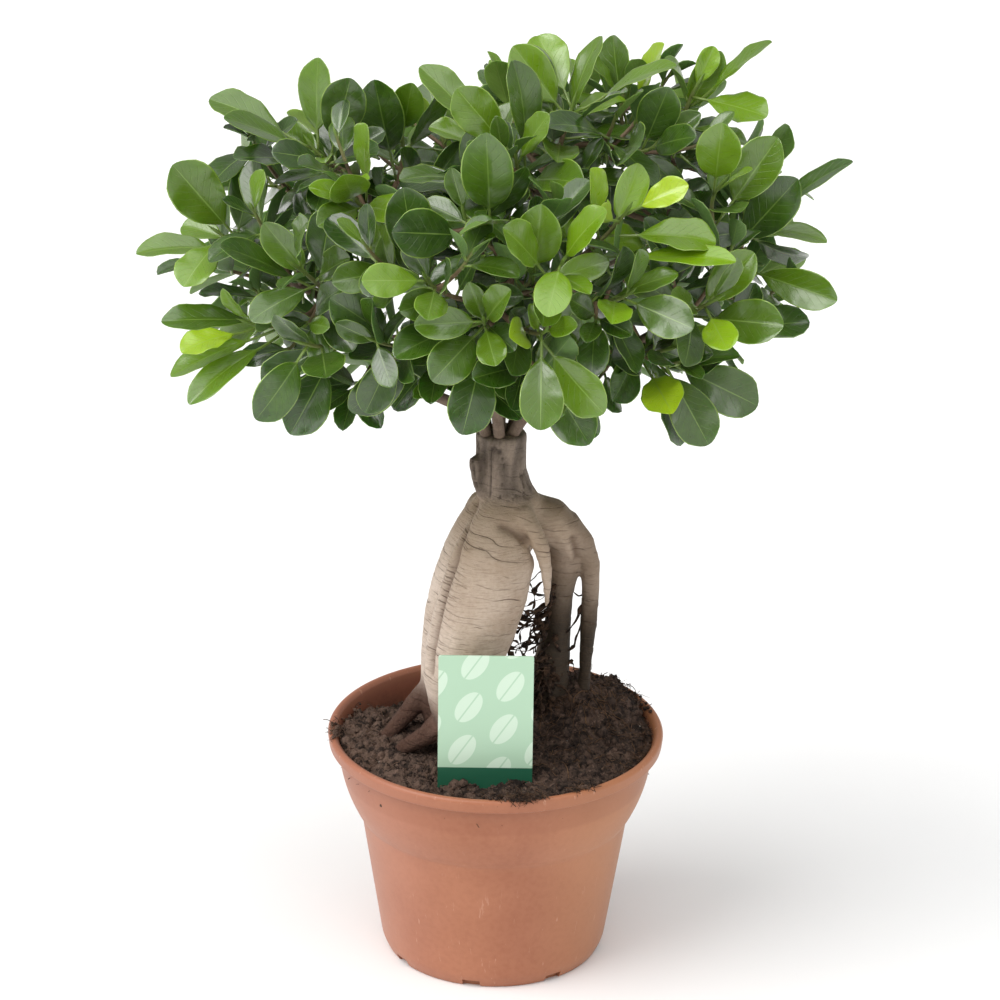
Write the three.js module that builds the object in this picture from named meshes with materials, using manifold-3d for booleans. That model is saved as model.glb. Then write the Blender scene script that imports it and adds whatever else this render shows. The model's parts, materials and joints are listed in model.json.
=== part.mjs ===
// Ginseng ficus in its nursery pot. Millimetres, +Z up, origin at the centre of the pot's base.
// The pot holds soil, the soil holds the swollen rootstock and a plant card, and seven grafted
// branches stand on the sawn stump and carry the leafy stems of the crown.
import * as THREE from "three";
import { mergeVertices } from "three/addons/utils/BufferGeometryUtils.js";
import Module from "manifold-3d";

const wasm = await Module();
wasm.setup();

// Driving dimensions
const GAP = 0.3;
const SEAT = 0.35;

const POT = {
  height: 120,
  rimRadius: 85,
  lipHeight: 7,
  lipOverhang: 4.5,
  collarRadius: 80,
  collarFoot: 78,
  ledgeRadius: 70.5,
  bodyRadius: 67.8,
  footRadius: 57,
  baseRadius: 54,
  footHeight: 6,
  ledgeDrop: 4,
  flare: [[9, 0.44], [20, 0.8]],
  wall: 1.5,
  floor: 2,
  sides: 32,
  notches: 8,
  notchWidth: 9,
  notchDepth: 7,
  notchHeight: 4,
};

const SOIL = {
  level: 117,
  mound: { x: 54, y: 40, spread: 30, height: 11 },
  hollow: { x: -42, y: 46, spread: 26, height: -13 },
  dip: { x: -14, y: -62, spread: 17, height: -4.5 },
  lump: 1.7,
  edgeDrop: 1.5,
  highest: 129,
  rings: 7,
  sectors: 24,
};

const LABEL = { x: -5, y: -57, width: 47, top: 186, foot: 92, thickness: 0.8, corner: 1 };

const STUMP = { height: 282, clearRadius: 15, clearFrom: 250 };

const LEAF = {
  petiole: 0.15,
  petioleRadius: 0.85,
  midrib: 0.6,
  stations: [0.37, 0.74],
  widths: [0.93, 0.9],
  longest: 46,
  clear: 0.35,
  tries: 40,
};

const STEM = {
  foot: 1.9,
  tip: 1.0,
  bareRings: 3,
  internode: 4.3,
  bud: 8,
  turn: 137.5,
  clear: 0.45,
  tries: 60,
};

// How a leaf stands by the rule. Pairs run from the youngest to the oldest leaf, or from least to most.
const HABIT = {
  pitch: [30, 80],
  pitchSpread: 16,
  swingSpread: 26,
  growth: [0.6, 1],
  length: [0.86, 1.1],
  halfWidth: [0.2, 0.29],
  arch: [0.12, 0.6],
  fold: [0.12, 0.38],
  droop: 0.16,
  outward: 0.3,
  upward: 0.35,
  youthSpread: 0.3,
  loosen: 0.12,
  shrink: 0.007,
};

// Where each kind of random draw starts, and how far apart two shoots' draws start
const SEEDS = { soil: 77, stem: 1000, chosen: 20000, rule: 50000, step: 100 };

const CROWN_CENTRE = new THREE.Vector3(0, 0, 345);
const UP = new THREE.Vector3(0, 0, 1);

// Colour and roughness of each finish
const FINISHES = {
  pot: { color: 0xb97a5e, roughness: 0.5 },
  soil: { color: 0x3b2a22, roughness: 1 },
  rootstock: { color: 0xb09a82, roughness: 0.8 },
  scion: { color: 0x5f4a3c, roughness: 0.85 },
  leaf: { color: 0x4f8a32, roughness: 0.35 },
  label: { color: 0xbfe0c0, roughness: 0.4 },
};

// A root is a chain of stations: centre x, y, z, half width, half depth.
const ROOTS = {
  trunk: [
    [1, 0, STUMP.height, 12.3, 12],
    [1, 0, 262, 12.5, 12],
    [3, 0, 252, 13, 13],
    [5, -1, 243, 17, 16],
    [4, -2, 234, 19, 18],
    [0, -2, 222, 16, 16],
    [-5, -1, 208, 9, 10],
  ],
  frontRoot: [
    [1, -5, 246, 9, 9],
    [0, -11, 236, 15, 13.5],
    [-2, -17, 222, 20.5, 17],
    [-6.5, -21, 205, 21.5, 18.5],
    [-11, -24, 190, 21, 18.5],
    [-15.5, -26, 175, 20, 18],
    [-18, -27, 160, 18.5, 16.5],
    [-18, -26, 145, 15, 14],
    [-16, -25, 128, 11.5, 11.5],
    [-14, -24, 108, 8, 8],
    [-12, -22, 86, 4, 4],
  ],
  leftRoot: [
    [-3, 4, 245, 7, 9],
    [-9, 3, 232, 10.5, 12],
    [-15.5, 1, 217, 11.8, 14],
    [-20.5, -2, 201, 12.6, 14.5],
    [-24, -4, 185, 12.3, 14],
    [-26, -5, 169, 11.7, 13],
    [-27.5, -4, 152, 10.5, 12],
    [-29, -2, 134, 9, 10],
    [-28, 2, 112, 6, 6.5],
    [-26, 6, 92, 3, 3],
  ],
  backRoot: [
    [-2, 9, 240, 13, 10],
    [-4, 15, 226, 15, 13],
    [-8, 20, 208, 14, 14],
    [-11, 23, 188, 12, 13],
    [-12, 24, 166, 11, 11.5],
    [-11, 25, 142, 9.5, 10],
    [-8, 26, 116, 7, 7.5],
    [-6, 27, 92, 3, 3],
  ],
  shoulder: [
    [4, 0, 237, 10, 14],
    [15, 2, 237, 10.8, 14],
    [26, 3, 233, 11, 13.5],
    [34, 4, 225, 9.6, 11.5],
    [38, 5, 214, 6.5, 8.5],
  ],
  rightLeg: [
    [31, 4, 233, 9, 10.5],
    [34, 6, 219, 9, 10],
    [33.5, 8, 204, 7.2, 8.2],
    [32, 10, 188, 6, 7.2],
    [30.5, 11, 172, 6.5, 7.5],
    [28.5, 12, 156, 8.6, 9],
    [27.5, 12, 138, 9.2, 9.5],
    [27, 12, 118, 7, 7.5],
    [27, 12, 94, 3.5, 3.5],
  ],
  farRoot: [
    [36, 5, 230, 5.5, 6],
    [42.5, 5, 221, 5.4, 5.8],
    [46, 6, 209, 5, 5.2],
    [46.8, 7, 195, 4.7, 4.9],
    [46.2, 8, 180, 4.1, 4.4],
    [45.6, 9, 165, 3.4, 3.8],
    [45, 10, 150, 3.2, 3.4],
    [44, 12, 134, 3.4, 3.4],
    [43, 14, 116, 2.6, 2.6],
  ],
  hangingRoot: [
    [11, -13, 244, 6.5, 5.5],
    [17, -19, 237, 5, 4.6],
    [21.8, -22, 228, 3.8, 3.8],
    [24, -23, 217, 2.8, 3],
    [24.6, -23, 207, 1.9, 2],
    [24.6, -22.5, 198, 0.8, 0.8],
  ],
  surfaceRootA: [
    [-28, -4, 150, 6.5, 6.5],
    [-37, -3, 139, 5.6, 5.6],
    [-46, -3, 127, 4.6, 4.6],
    [-54, -4, 117, 3.8, 3.8],
    [-62, -6, 106, 2.2, 2.2],
  ],
  surfaceRootB: [
    [-24, -22, 136, 7, 7],
    [-35, -24, 126, 5.2, 5.2],
    [-45, -22, 119, 4.2, 4.2],
    [-54, -18, 108, 2.4, 2.4],
  ],
  surfaceRootC: [
    [28, 14, 136, 6, 6],
    [38, 20, 126, 4.6, 4.6],
    [50, 24, 114, 3.4, 3.4],
    [60, 26, 102, 2, 2],
  ],
  barkFlange: [
    [-8, -6, 250, 2.4, 4],
    [-10.3, -7, 259, 3, 4.4],
    [-11.6, -8, 267, 3.2, 4.2],
    [-12, -8, 271, 2.8, 3.8],
  ],
};

const ROOT_SIDES = { trunk: 12, frontRoot: 13, leftRoot: 11, backRoot: 10, shoulder: 10, rightLeg: 10 };
const THIN_ROOT_SIDES = 6;
const SCION_SIDES = 5;

// Grafted branches: x, y and rise of points from the stump outwards, with the radius at both ends
const SCIONS = [
  { points: [[-6.5, -3.7, 0], [-13, -11, 15], [-26, -18, 23], [-42, -20, 33], [-54, -20, 50], [-68, -21, 66],
    [-88, -22, 78], [-106, -20, 88]], foot: 3.4, tip: 2.1 },
  { points: [[-6.5, 3.7, 0], [-12, 11, 24], [-24, 16, 54], [-40, 17, 84], [-58, 15, 110], [-70, 8, 126]],
    foot: 3.4, tip: 2.1 },
  { points: [[0, 0, 0], [1, -1, 28], [4, -3, 62], [12, -6, 96], [22, -8, 126], [32, -4, 146]],
    foot: 3.2, tip: 2 },
  { points: [[6.5, -3.7, 0], [16, -11, 18], [34, -20, 36], [56, -28, 53], [80, -34, 70], [100, -34, 90]],
    foot: 3.4, tip: 2.1 },
  { points: [[6.5, 3.7, 0], [14, 12, 24], [28, 22, 54], [46, 29, 86], [64, 32, 116], [80, 28, 138]],
    foot: 3.4, tip: 2.1 },
  { points: [[0, -7.5, 0], [-2, -18, 22], [-4, -36, 44], [-6, -54, 66], [-4, -66, 88], [2, -72, 108]],
    foot: 3.2, tip: 2 },
  { points: [[0, 7.5, 0], [0, 20, 24], [-4, 40, 48], [-10, 58, 72], [-14, 70, 96], [-10, 74, 116]],
    foot: 3.2, tip: 2 },
];

// The directions that the upper face of a chosen leaf may look in
const FACING = {
  view: [0, -0.92, 0.39],
  up: [0, -0.3, 0.95],
  left: [-0.6, -0.6, 0.5],
  right: [0.6, -0.6, 0.5],
  down: [0, -1, -0.15],
};

// Leafy stems: tip of the stem, number of leaves, leaf length, youth from 0 to 1, and chosen leaves.
// A chosen leaf has its tip, the way that it faces, its width as a share of its length, and its youth.
const SHOOTS = [
  { at: [-136, -12, 388], leaves: 8, size: 40, youth: 0.35, chosen: [
    [-158, -30, 430, "view", 0.66, 0.45],
    [-177, -20, 379, "up", 0.42, 0.3],
    [-119, -45, 418, "left", 0.36, 0.9],
    [-152, -45, 372, "up", 0.5, 0.1],
    [-120, 5, 418, "view", 0.5, 0.2],
  ] },
  { at: [-92, 0, 429], leaves: 9, size: 42, youth: 0.3, chosen: [
    [-89, 10, 471, "left", 0.45, 0.3],
    [-73, -10, 468, "view", 0.56, 0.35],
    [-143, 10, 448, "up", 0.45, 0.1],
    [-134, -20, 449, "up", 0.42, 0.3],
    [-129, -25, 430, "up", 0.5, 0],
  ] },
  { at: [-97, -62, 390], leaves: 8, size: 40, youth: 0.25, chosen: [
    [-134, -60, 399, "up", 0.45, 0.1],
    [-89, -85, 422, "left", 0.5, 0.3],
  ] },
  { at: [-120, -46, 355], leaves: 8, size: 42, youth: 0.45, chosen: [
    [-165, -50, 354, "up", 0.4, 0],
    [-152, -72, 348, "up", 0.5, 0.95],
    [-158, -56, 330, "up", 0.4, 0.1],
    [-148, -80, 324, "up", 0.36, 0.1],
  ] },
  { at: [-93, -72, 355], leaves: 7, size: 42, youth: 0.05, chosen: [
    [-116, -95, 325, "down", 0.62, 0],
    [-100, -86, 314, "down", 0.52, 0],
    [-81, -112, 353, "view", 0.74, 0.05],
  ] },
  { at: [-73, -52, 425], leaves: 8, size: 38, youth: 0.45, chosen: [
    [-63, -60, 461, "left", 0.45, 0.7],
    [-100, -78, 443, "up", 0.36, 0.7],
    [-75, -82, 445, "view", 0.5, 0.15],
  ] },
  { at: [-51, 18, 435], leaves: 8, size: 28, youth: 0.3, chosen: [
    [-44, 10, 459, "view", 0.6, 0.3],
    [-31, 5, 457, "right", 0.4, 0.1],
    [-57, 18, 459, "view", 0.55, 0.25],
    [-64, 8, 448, "left", 0.5, 0.2],
  ] },
  { at: [-18, -78, 424], leaves: 9, size: 40, youth: 0.2, chosen: [
    [-8, -88, 469, "view", 0.82, 0.1],
    [-14, -110, 454, "view", 0.78, 0.45],
    [-52, -108, 425, "view", 0.72, 0.05],
    [8, -85, 448, "right", 0.34, 0.2],
  ] },
  { at: [6, -44, 445], leaves: 9, size: 44, youth: 0.3, chosen: [
    [2, -22, 482, "right", 0.48, 0.4],
    [-23, -42, 474, "view", 0.54, 0.3],
    [-41, -16, 475, "up", 0.42, 0.2],
  ] },
  { at: [-35, -104, 401], leaves: 8, size: 42, youth: 0.25, chosen: [
    [-34, -126, 388, "view", 0.55, 0],
    [-65, -116, 404, "view", 0.5, 0.6],
    [-27, -128, 420, "left", 0.4, 0.75],
    [-48, -107, 385, "view", 0.55, 0.2],
  ] },
  { at: [-8, -108, 382], leaves: 9, size: 40, youth: 0.25, chosen: [
    [-43, -118, 384, "view", 0.5, 0.1],
    [-32, -124, 357, "view", 0.55, 0.3],
    [-2, -126, 366, "view", 0.55, 0.25],
    [-18, -112, 325, "down", 0.6, 0.05],
    [-50, -108, 361, "left", 0.5, 0.3],
  ] },
  { at: [33, -8, 454], leaves: 9, size: 44, youth: 0.45, chosen: [
    [43, 0, 489, "left", 0.32, 0.35],
    [20, 30, 480, "up", 0.45, 0.7],
    [83, -30, 481, "up", 0.34, 0.45],
    [58, -40, 471, "up", 0.32, 0.3],
    [8, 12, 481, "view", 0.5, 0.1],
    [4, -2, 483, "view", 0.45, 0.2],
  ] },
  { at: [93, 18, 456], leaves: 8, size: 40, youth: 0.5, chosen: [
    [129, 8, 483, "up", 0.36, 0.5],
    [104, 20, 475, "view", 0.4, 0.4],
    [127, 0, 452, "up", 0.5, 0.1],
  ] },
  { at: [74, -26, 443], leaves: 8, size: 42, youth: 0.15, chosen: [
    [78, -36, 474, "view", 0.5, 0.2],
    [65, -70, 455, "view", 0.6, 0],
    [92, -52, 454, "left", 0.42, 0],
  ] },
  { at: [58, -78, 426], leaves: 8, size: 42, youth: 0.65, chosen: [
    [40, -86, 450, "right", 0.52, 0.9],
    [87, -86, 442, "left", 0.42, 1],
    [42, -114, 432, "left", 0.5, 0.8],
    [101, -76, 409, "up", 0.5, 0.5],
    [110, -90, 405, "up", 0.36, 0.75],
  ] },
  { at: [103, -48, 429], leaves: 8, size: 42, youth: 0.3, chosen: [
    [102, -68, 468, "view", 0.68, 0.55],
    [130, -44, 452, "view", 0.5, 0.15],
  ] },
  { at: [124, -22, 402], leaves: 9, size: 44, youth: 0.35, chosen: [
    [169, -32, 435, "up", 0.36, 0.3],
    [141, -40, 431, "view", 0.5, 0.5],
    [156, -32, 394, "up", 0.4, 0.3],
    [161, -50, 372, "view", 0.42, 0.05],
  ] },
  { at: [28, -108, 411], leaves: 9, size: 36, youth: 0.45, chosen: [
    [18, -112, 443, "view", 0.56, 0.5],
    [49, -116, 440, "left", 0.45, 0.3],
    [4, -116, 441, "right", 0.45, 0.7],
    [21, -136, 394, "view", 0.6, 0.4],
    [-1, -118, 424, "up", 0.36, 0.4],
  ] },
  { at: [60, -96, 392], leaves: 7, size: 44, youth: 0.3, chosen: [
    [90, -116, 382, "view", 0.5, 0.4],
    [87, -98, 404, "up", 0.4, 0.3],
    [51, -126, 387, "view", 0.5, 0.75],
  ] },
  { at: [21, -112, 379], leaves: 8, size: 36, youth: 0.35, chosen: [
    [19, -132, 336, "view", 0.8, 0.15],
    [3, -130, 382, "view", 0.6, 0.95],
    [2, -134, 364, "view", 0.7, 0.85],
    [49, -118, 340, "down", 0.6, 0],
  ] },
  { at: [79, -66, 352], leaves: 8, size: 42, youth: 0.2, chosen: [
    [100, -78, 308, "view", 0.5, 0],
    [82, -106, 334, "view", 0.68, 1],
    [124, -62, 322, "view", 0.52, 0.3],
    [52, -92, 356, "view", 0.5, 0.1],
    [53, -76, 329, "down", 0.55, 0.05],
  ] },
  { at: [100, -76, 381], leaves: 7, size: 42, youth: 0.35, chosen: [
    [106, -110, 369, "view", 0.7, 0.9],
    [134, -84, 372, "view", 0.5, 0.1],
  ] },
  { at: [59, 26, 452], leaves: 8, size: 42, youth: 0.35, chosen: [
    [59, 34, 483, "left", 0.45, 0.2],
    [78, 20, 477, "up", 0.36, 0.95],
  ] },
  { at: [19, -72, 353], leaves: 7, size: 38, youth: 0.1, chosen: [
    [43, -96, 315, "down", 0.62, 0.45],
    [48, -78, 313, "down", 0.52, 0],
  ] },
  { at: [-60, -84, 362], leaves: 7, size: 42, youth: 0.05, chosen: [
    [-64, -84, 325, "down", 0.64, 0],
    [-50, -102, 345, "down", 0.5, 0.05],
    [-79, -84, 381, "view", 0.55, 0.15],
    [-72, -76, 323, "down", 0.6, 0],
  ] },
  { at: [-55, -76, 398], leaves: 8, size: 38, youth: 0.25, chosen: [
    [-47, -70, 435, "view", 0.6, 0.45],
    [-80, -84, 391, "view", 0.55, 0.2],
  ] },
  { at: [-120, 40, 401], leaves: 7, size: 42, youth: 0.3, chosen: [] },
  { at: [-87, 68, 409], leaves: 7, size: 42, youth: 0.35, chosen: [] },
  { at: [-32, 68, 417], leaves: 7, size: 40, youth: 0.35, chosen: [] },
  { at: [-100, 84, 369], leaves: 7, size: 42, youth: 0.2, chosen: [] },
  { at: [-132, 38, 355], leaves: 7, size: 42, youth: 0.25, chosen: [] },
  { at: [-55, 112, 385], leaves: 7, size: 42, youth: 0.35, chosen: [] },
  { at: [2, 26, 451], leaves: 8, size: 40, youth: 0.35, chosen: [] },
  { at: [0, 104, 417], leaves: 8, size: 42, youth: 0.4, chosen: [] },
  { at: [39, 78, 429], leaves: 8, size: 42, youth: 0.3, chosen: [] },
  { at: [54, 118, 389], leaves: 7, size: 42, youth: 0.3, chosen: [] },
  { at: [91, 66, 427], leaves: 7, size: 42, youth: 0.35, chosen: [] },
  { at: [130, 34, 412], leaves: 7, size: 42, youth: 0.3, chosen: [] },
  { at: [119, 72, 374], leaves: 7, size: 42, youth: 0.25, chosen: [] },
  { at: [77, 96, 351], leaves: 7, size: 42, youth: 0.1, chosen: [] },
  { at: [5, 124, 360], leaves: 7, size: 42, youth: 0.2, chosen: [] },
  { at: [-57, 92, 343], leaves: 7, size: 42, youth: 0.1, chosen: [] },
  { at: [128, 8, 366], leaves: 7, size: 36, youth: 0.25, chosen: [] },
  { at: [104, 26, 338], leaves: 7, size: 40, youth: 0.05, chosen: [] },
  { at: [-93, 14, 333], leaves: 7, size: 40, youth: 0.05, chosen: [] },
  { at: [30, 66, 336], leaves: 7, size: 38, youth: 0.05, chosen: [] },
  { at: [-9, -14, 442], leaves: 7, size: 36, youth: 0.3, chosen: [] },
];

/** Seeded random numbers from 0 to 1. */
function seeded(seed) {
  let state = seed >>> 0;
  return () => {
    state = (state + 0x6d2b79f5) >>> 0;
    let mixed = Math.imul(state ^ (state >>> 15), state | 1);
    mixed ^= mixed + Math.imul(mixed ^ (mixed >>> 7), mixed | 61);
    return ((mixed ^ (mixed >>> 14)) >>> 0) / 4294967296;
  };
}

const radians = (degrees) => (degrees * Math.PI) / 180;
const lerp = (from, to, share) => from + (to - from) * share;
const within = (pair, share) => lerp(pair[0], pair[1], share);
const vector = (xyz) => new THREE.Vector3(xyz[0], xyz[1], xyz[2]);

/** The sum of vectors, each times its own weight. */
function blend(...pairs) {
  const sum = new THREE.Vector3();
  for (const [v, weight] of pairs) sum.addScaledVector(v, weight);
  return sum;
}

/** The part of a direction that is square to an axis, as a unit vector. */
function squareTo(direction, axis) {
  return direction.clone().addScaledVector(axis, -direction.dot(axis)).normalize();
}

/** A geometry from points and triangles. */
function meshOf(points, triangles) {
  const geometry = new THREE.BufferGeometry();
  const flat = points.flatMap((p) => [p.x, p.y, p.z]);
  geometry.setAttribute("position", new THREE.Float32BufferAttribute(flat, 3));
  geometry.setIndex(triangles.flat());
  return geometry;
}

/** A closed geometry as a solid that can be joined and cut. */
function solid(geometry) {
  const bare = geometry.clone();
  for (const name of Object.keys(bare.attributes)) if (name !== "position") bare.deleteAttribute(name);
  const merged = mergeVertices(bare, 1e-4);
  const mesh = new wasm.Mesh({
    numProp: 3,
    vertProperties: new Float32Array(merged.attributes.position.array),
    triVerts: new Uint32Array(merged.index.array),
  });
  return new wasm.Manifold(mesh);
}

/** The geometry of a solid. */
function geometryOf(body) {
  const mesh = body.getMesh();
  const geometry = new THREE.BufferGeometry();
  geometry.setAttribute("position", new THREE.BufferAttribute(new Float32Array(mesh.vertProperties), 3));
  geometry.setIndex(new THREE.BufferAttribute(new Uint32Array(mesh.triVerts), 1));
  return geometry;
}

/** Triangles of a closed tube of rings with the same number of points, ring points counter-clockwise. */
function tubeTriangles(rings, sides) {
  const triangles = [];
  for (let k = 0; k + 1 < rings; k += 1) {
    for (let m = 0; m < sides; m += 1) {
      const next = (m + 1) % sides;
      const [a, b, c, d] = [k * sides + m, k * sides + next, (k + 1) * sides + next, (k + 1) * sides + m];
      triangles.push([a, b, c], [a, c, d]);
    }
  }
  const last = (rings - 1) * sides;
  for (let m = 1; m + 1 < sides; m += 1) {
    triangles.push([0, m + 1, m], [last, last + m, last + m + 1]);
  }
  return triangles;
}

/** A closed lathe about Z from a profile of [radius, height] points. */
function lathe(profile, sides) {
  const points = profile.map(([radius, height]) => new THREE.Vector2(radius, height));
  return new THREE.LatheGeometry(points, sides).rotateX(Math.PI / 2);
}

/** The radius of the pot's wall on the outside at a height. */
function potRadius(height) {
  const stops = [
    [0, POT.baseRadius],
    [POT.footHeight, POT.footRadius],
    [POT.collarFoot - POT.ledgeDrop, POT.bodyRadius],
    [POT.collarFoot, POT.ledgeRadius],
    ...POT.flare.map(([rise, share]) =>
      [POT.collarFoot + rise, lerp(POT.ledgeRadius, POT.collarRadius, share)]),
    [POT.height - POT.lipHeight, POT.collarRadius],
    [POT.height, POT.collarRadius + 1],
  ];
  const above = stops.findIndex((stop) => stop[0] >= height);
  const [low, high] = [stops[Math.max(above - 1, 0)], stops[above]];
  const share = high[0] > low[0] ? (height - low[0]) / (high[0] - low[0]) : 0;
  return lerp(low[1], high[1], share);
}

/** The heights where the pot's wall bends, from its collar down to its foot. */
function wallBends() {
  const flare = POT.flare.map(([rise]) => POT.collarFoot + rise);
  return [...flare.reverse(), POT.collarFoot - POT.ledgeDrop, POT.footHeight + 1];
}

/** The pot: a thin wall with a ledge, a flared collar and a rolled lip, and notches for drainage. */
function potGeometry() {
  const flare = POT.flare.map(([rise]) => POT.collarFoot + rise);
  const outside = [0, POT.footHeight, POT.collarFoot - POT.ledgeDrop, POT.collarFoot, ...flare]
    .map((height) => [potRadius(height), height]);
  const lipFoot = POT.height - POT.lipHeight;
  const inside = wallBends().map((height) => [potRadius(height) - POT.wall, height]);
  const profile = [
    [0, 0],
    ...outside,
    [POT.collarRadius, lipFoot],
    [POT.rimRadius - 0.6, lipFoot],
    [POT.rimRadius, POT.height - 1.6],
    [POT.rimRadius - 1, POT.height],
    [POT.rimRadius - 2.8, POT.height],
    [POT.rimRadius - POT.lipOverhang, POT.height - 1.5],
    [POT.collarRadius - POT.wall, lipFoot],
    ...inside,
    [POT.baseRadius - 2, POT.floor],
    [0, POT.floor],
  ];
  let body = solid(lathe(profile, POT.sides));
  for (let i = 0; i < POT.notches; i += 1) {
    const cutter = new THREE.BoxGeometry(POT.notchDepth, POT.notchWidth, 2 * POT.notchHeight);
    cutter.translate(POT.footRadius - POT.notchDepth / 2 + 2, 0, 0);
    cutter.rotateZ(((i + 0.75) * 2 * Math.PI) / POT.notches);
    body = body.subtract(solid(cutter));
  }
  return geometryOf(body);
}

/** A smooth bump of the soil round a point. */
function bump(shape, x, y) {
  const far = ((x - shape.x) ** 2 + (y - shape.y) ** 2) / shape.spread ** 2;
  return shape.height * Math.exp(-far);
}

/** The height of the soil's surface before its lumps. */
function soilLevel(x, y) {
  return SOIL.level + bump(SOIL.mound, x, y) + bump(SOIL.hollow, x, y) + bump(SOIL.dip, x, y);
}

/** The radius that the soil may fill at a height, clear of the pot's wall. */
function soilRadius(height) {
  const facet = Math.cos(Math.PI / POT.sides);
  return (potRadius(Math.min(height, POT.height - POT.lipHeight)) - POT.wall) * facet - GAP - 0.15;
}

/** The soil: a lumpy top over a fill that follows the pot's inside, with plain holes for what it holds. */
function soilGeometry(held) {
  const draw = seeded(SEEDS.soil);
  const rings = [];
  const edge = soilRadius(POT.height - POT.lipHeight);
  for (let k = SOIL.rings; k >= 1; k -= 1) {
    const ring = [];
    for (let i = 0; i < SOIL.sectors; i += 1) {
      const azimuth = (2 * Math.PI * (i + (k % 2) * 0.5)) / SOIL.sectors;
      const radius = edge * (k / SOIL.rings) ** 0.8;
      const [x, y] = [radius * Math.cos(azimuth), radius * Math.sin(azimuth)];
      const low = k === SOIL.rings ? SOIL.edgeDrop : 0;
      const height = Math.min(soilLevel(x, y) + (draw() - 0.5) * 2 * SOIL.lump - low, SOIL.highest);
      const share = Math.min(soilRadius(height) / radius, 1);
      ring.push(new THREE.Vector3(x * share, y * share, height));
    }
    rings.push(ring);
  }
  const bottom = POT.floor + GAP;
  const below = [...wallBends(), bottom].map((height) => {
    const radius = soilRadius(height) - (height === bottom ? SOIL.edgeDrop : 0);
    return rings[0].map((p) => new THREE.Vector3(p.x, p.y, 0).setLength(radius).setZ(height));
  });
  const stack = [...below.reverse(), ...rings];
  const fill = solid(meshOf(stack.flat(), tubeTriangles(stack.length, SOIL.sectors)));
  return geometryOf(held.reduce((body, hole) => body.subtract(hole), fill));
}

/** One root as a closed loft, its stations grown by a margin. */
function rootSolid(stations, sides, margin) {
  const path = stations.map(vector);
  const span = path[path.length - 1].clone().sub(path[0]);
  const lies = Math.abs(span.x) > Math.abs(span.z);
  const points = [];
  stations.forEach(([, , , wide, deep], k) => {
    const ahead = path[Math.min(k + 1, path.length - 1)];
    const behind = path[Math.max(k - 1, 0)];
    const along = ahead.clone().sub(behind).normalize();
    const across = squareTo(new THREE.Vector3(Number(!lies), Number(lies), 0), along);
    const inward = new THREE.Vector3().crossVectors(along, across);
    for (let m = 0; m < sides; m += 1) {
      const angle = (2 * Math.PI * m) / sides;
      const first = (lies ? deep : wide) + margin;
      const second = (lies ? wide : deep) + margin;
      points.push(blend([path[k], 1], [across, first * Math.cos(angle)], [inward, second * Math.sin(angle)]));
    }
  });
  return solid(meshOf(points, tubeTriangles(stations.length, sides)));
}

/** The rootstock: all roots and the stump joined in one body, sawn flat at the top. */
function rootstockSolid(margin) {
  const roots = Object.entries(ROOTS).map(([name, stations]) =>
    rootSolid(stations, ROOT_SIDES[name] ?? THIN_ROOT_SIDES, margin));
  return roots.reduce((body, root) => body.add(root));
}

/** The plant card, a thin upright sheet with rounded upper corners. */
function labelGeometry(margin) {
  const { width, top, foot, thickness, corner } = LABEL;
  const half = width / 2 + margin;
  const shape = new THREE.Shape();
  shape.moveTo(-half, foot - margin);
  shape.lineTo(half, foot - margin);
  shape.lineTo(half, top - corner);
  shape.quadraticCurveTo(half, top, half - corner, top);
  shape.lineTo(-half + corner, top);
  shape.quadraticCurveTo(-half, top, -half, top - corner);
  shape.closePath();
  const card = new THREE.ExtrudeGeometry(shape, {
    depth: thickness + 2 * margin,
    bevelEnabled: false,
    curveSegments: 3,
  });
  return card.rotateX(Math.PI / 2).translate(LABEL.x, LABEL.y + thickness + margin, 0);
}

/** The centre line of a grafted branch. */
function scionCurve(scion) {
  const base = STUMP.height + GAP;
  return new THREE.CatmullRomCurve3(scion.points.map(([x, y, rise]) => new THREE.Vector3(x, y, base + rise)));
}

/** The rings of a grafted branch: a tube that narrows from foot to tip. */
function scionRings(scion) {
  const curve = scionCurve(scion);
  const steps = 2 * (scion.points.length - 1);
  const rings = [];
  for (let k = 0; k <= steps; k += 1) {
    const at = k / steps;
    const along = k === 0 ? new THREE.Vector3(0, 0, 1) : curve.getTangent(at);
    const across = squareTo(new THREE.Vector3(1, 0, 0), along);
    const inward = new THREE.Vector3().crossVectors(along, across);
    const radius = lerp(scion.foot, scion.tip, at);
    const centre = curve.getPoint(at);
    const ring = [];
    for (let m = 0; m < SCION_SIDES; m += 1) {
      const angle = (2 * Math.PI * m) / SCION_SIDES;
      ring.push(blend([centre, 1], [across, radius * Math.cos(angle)], [inward, radius * Math.sin(angle)]));
    }
    rings.push(ring);
  }
  return rings;
}

/** A point of a cubic curve with four control points. */
function bezier(p, t) {
  const s = 1 - t;
  return blend([p[0], s * s * s], [p[1], 3 * s * s * t], [p[2], 3 * s * t * t], [p[3], t * t * t]);
}

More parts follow.
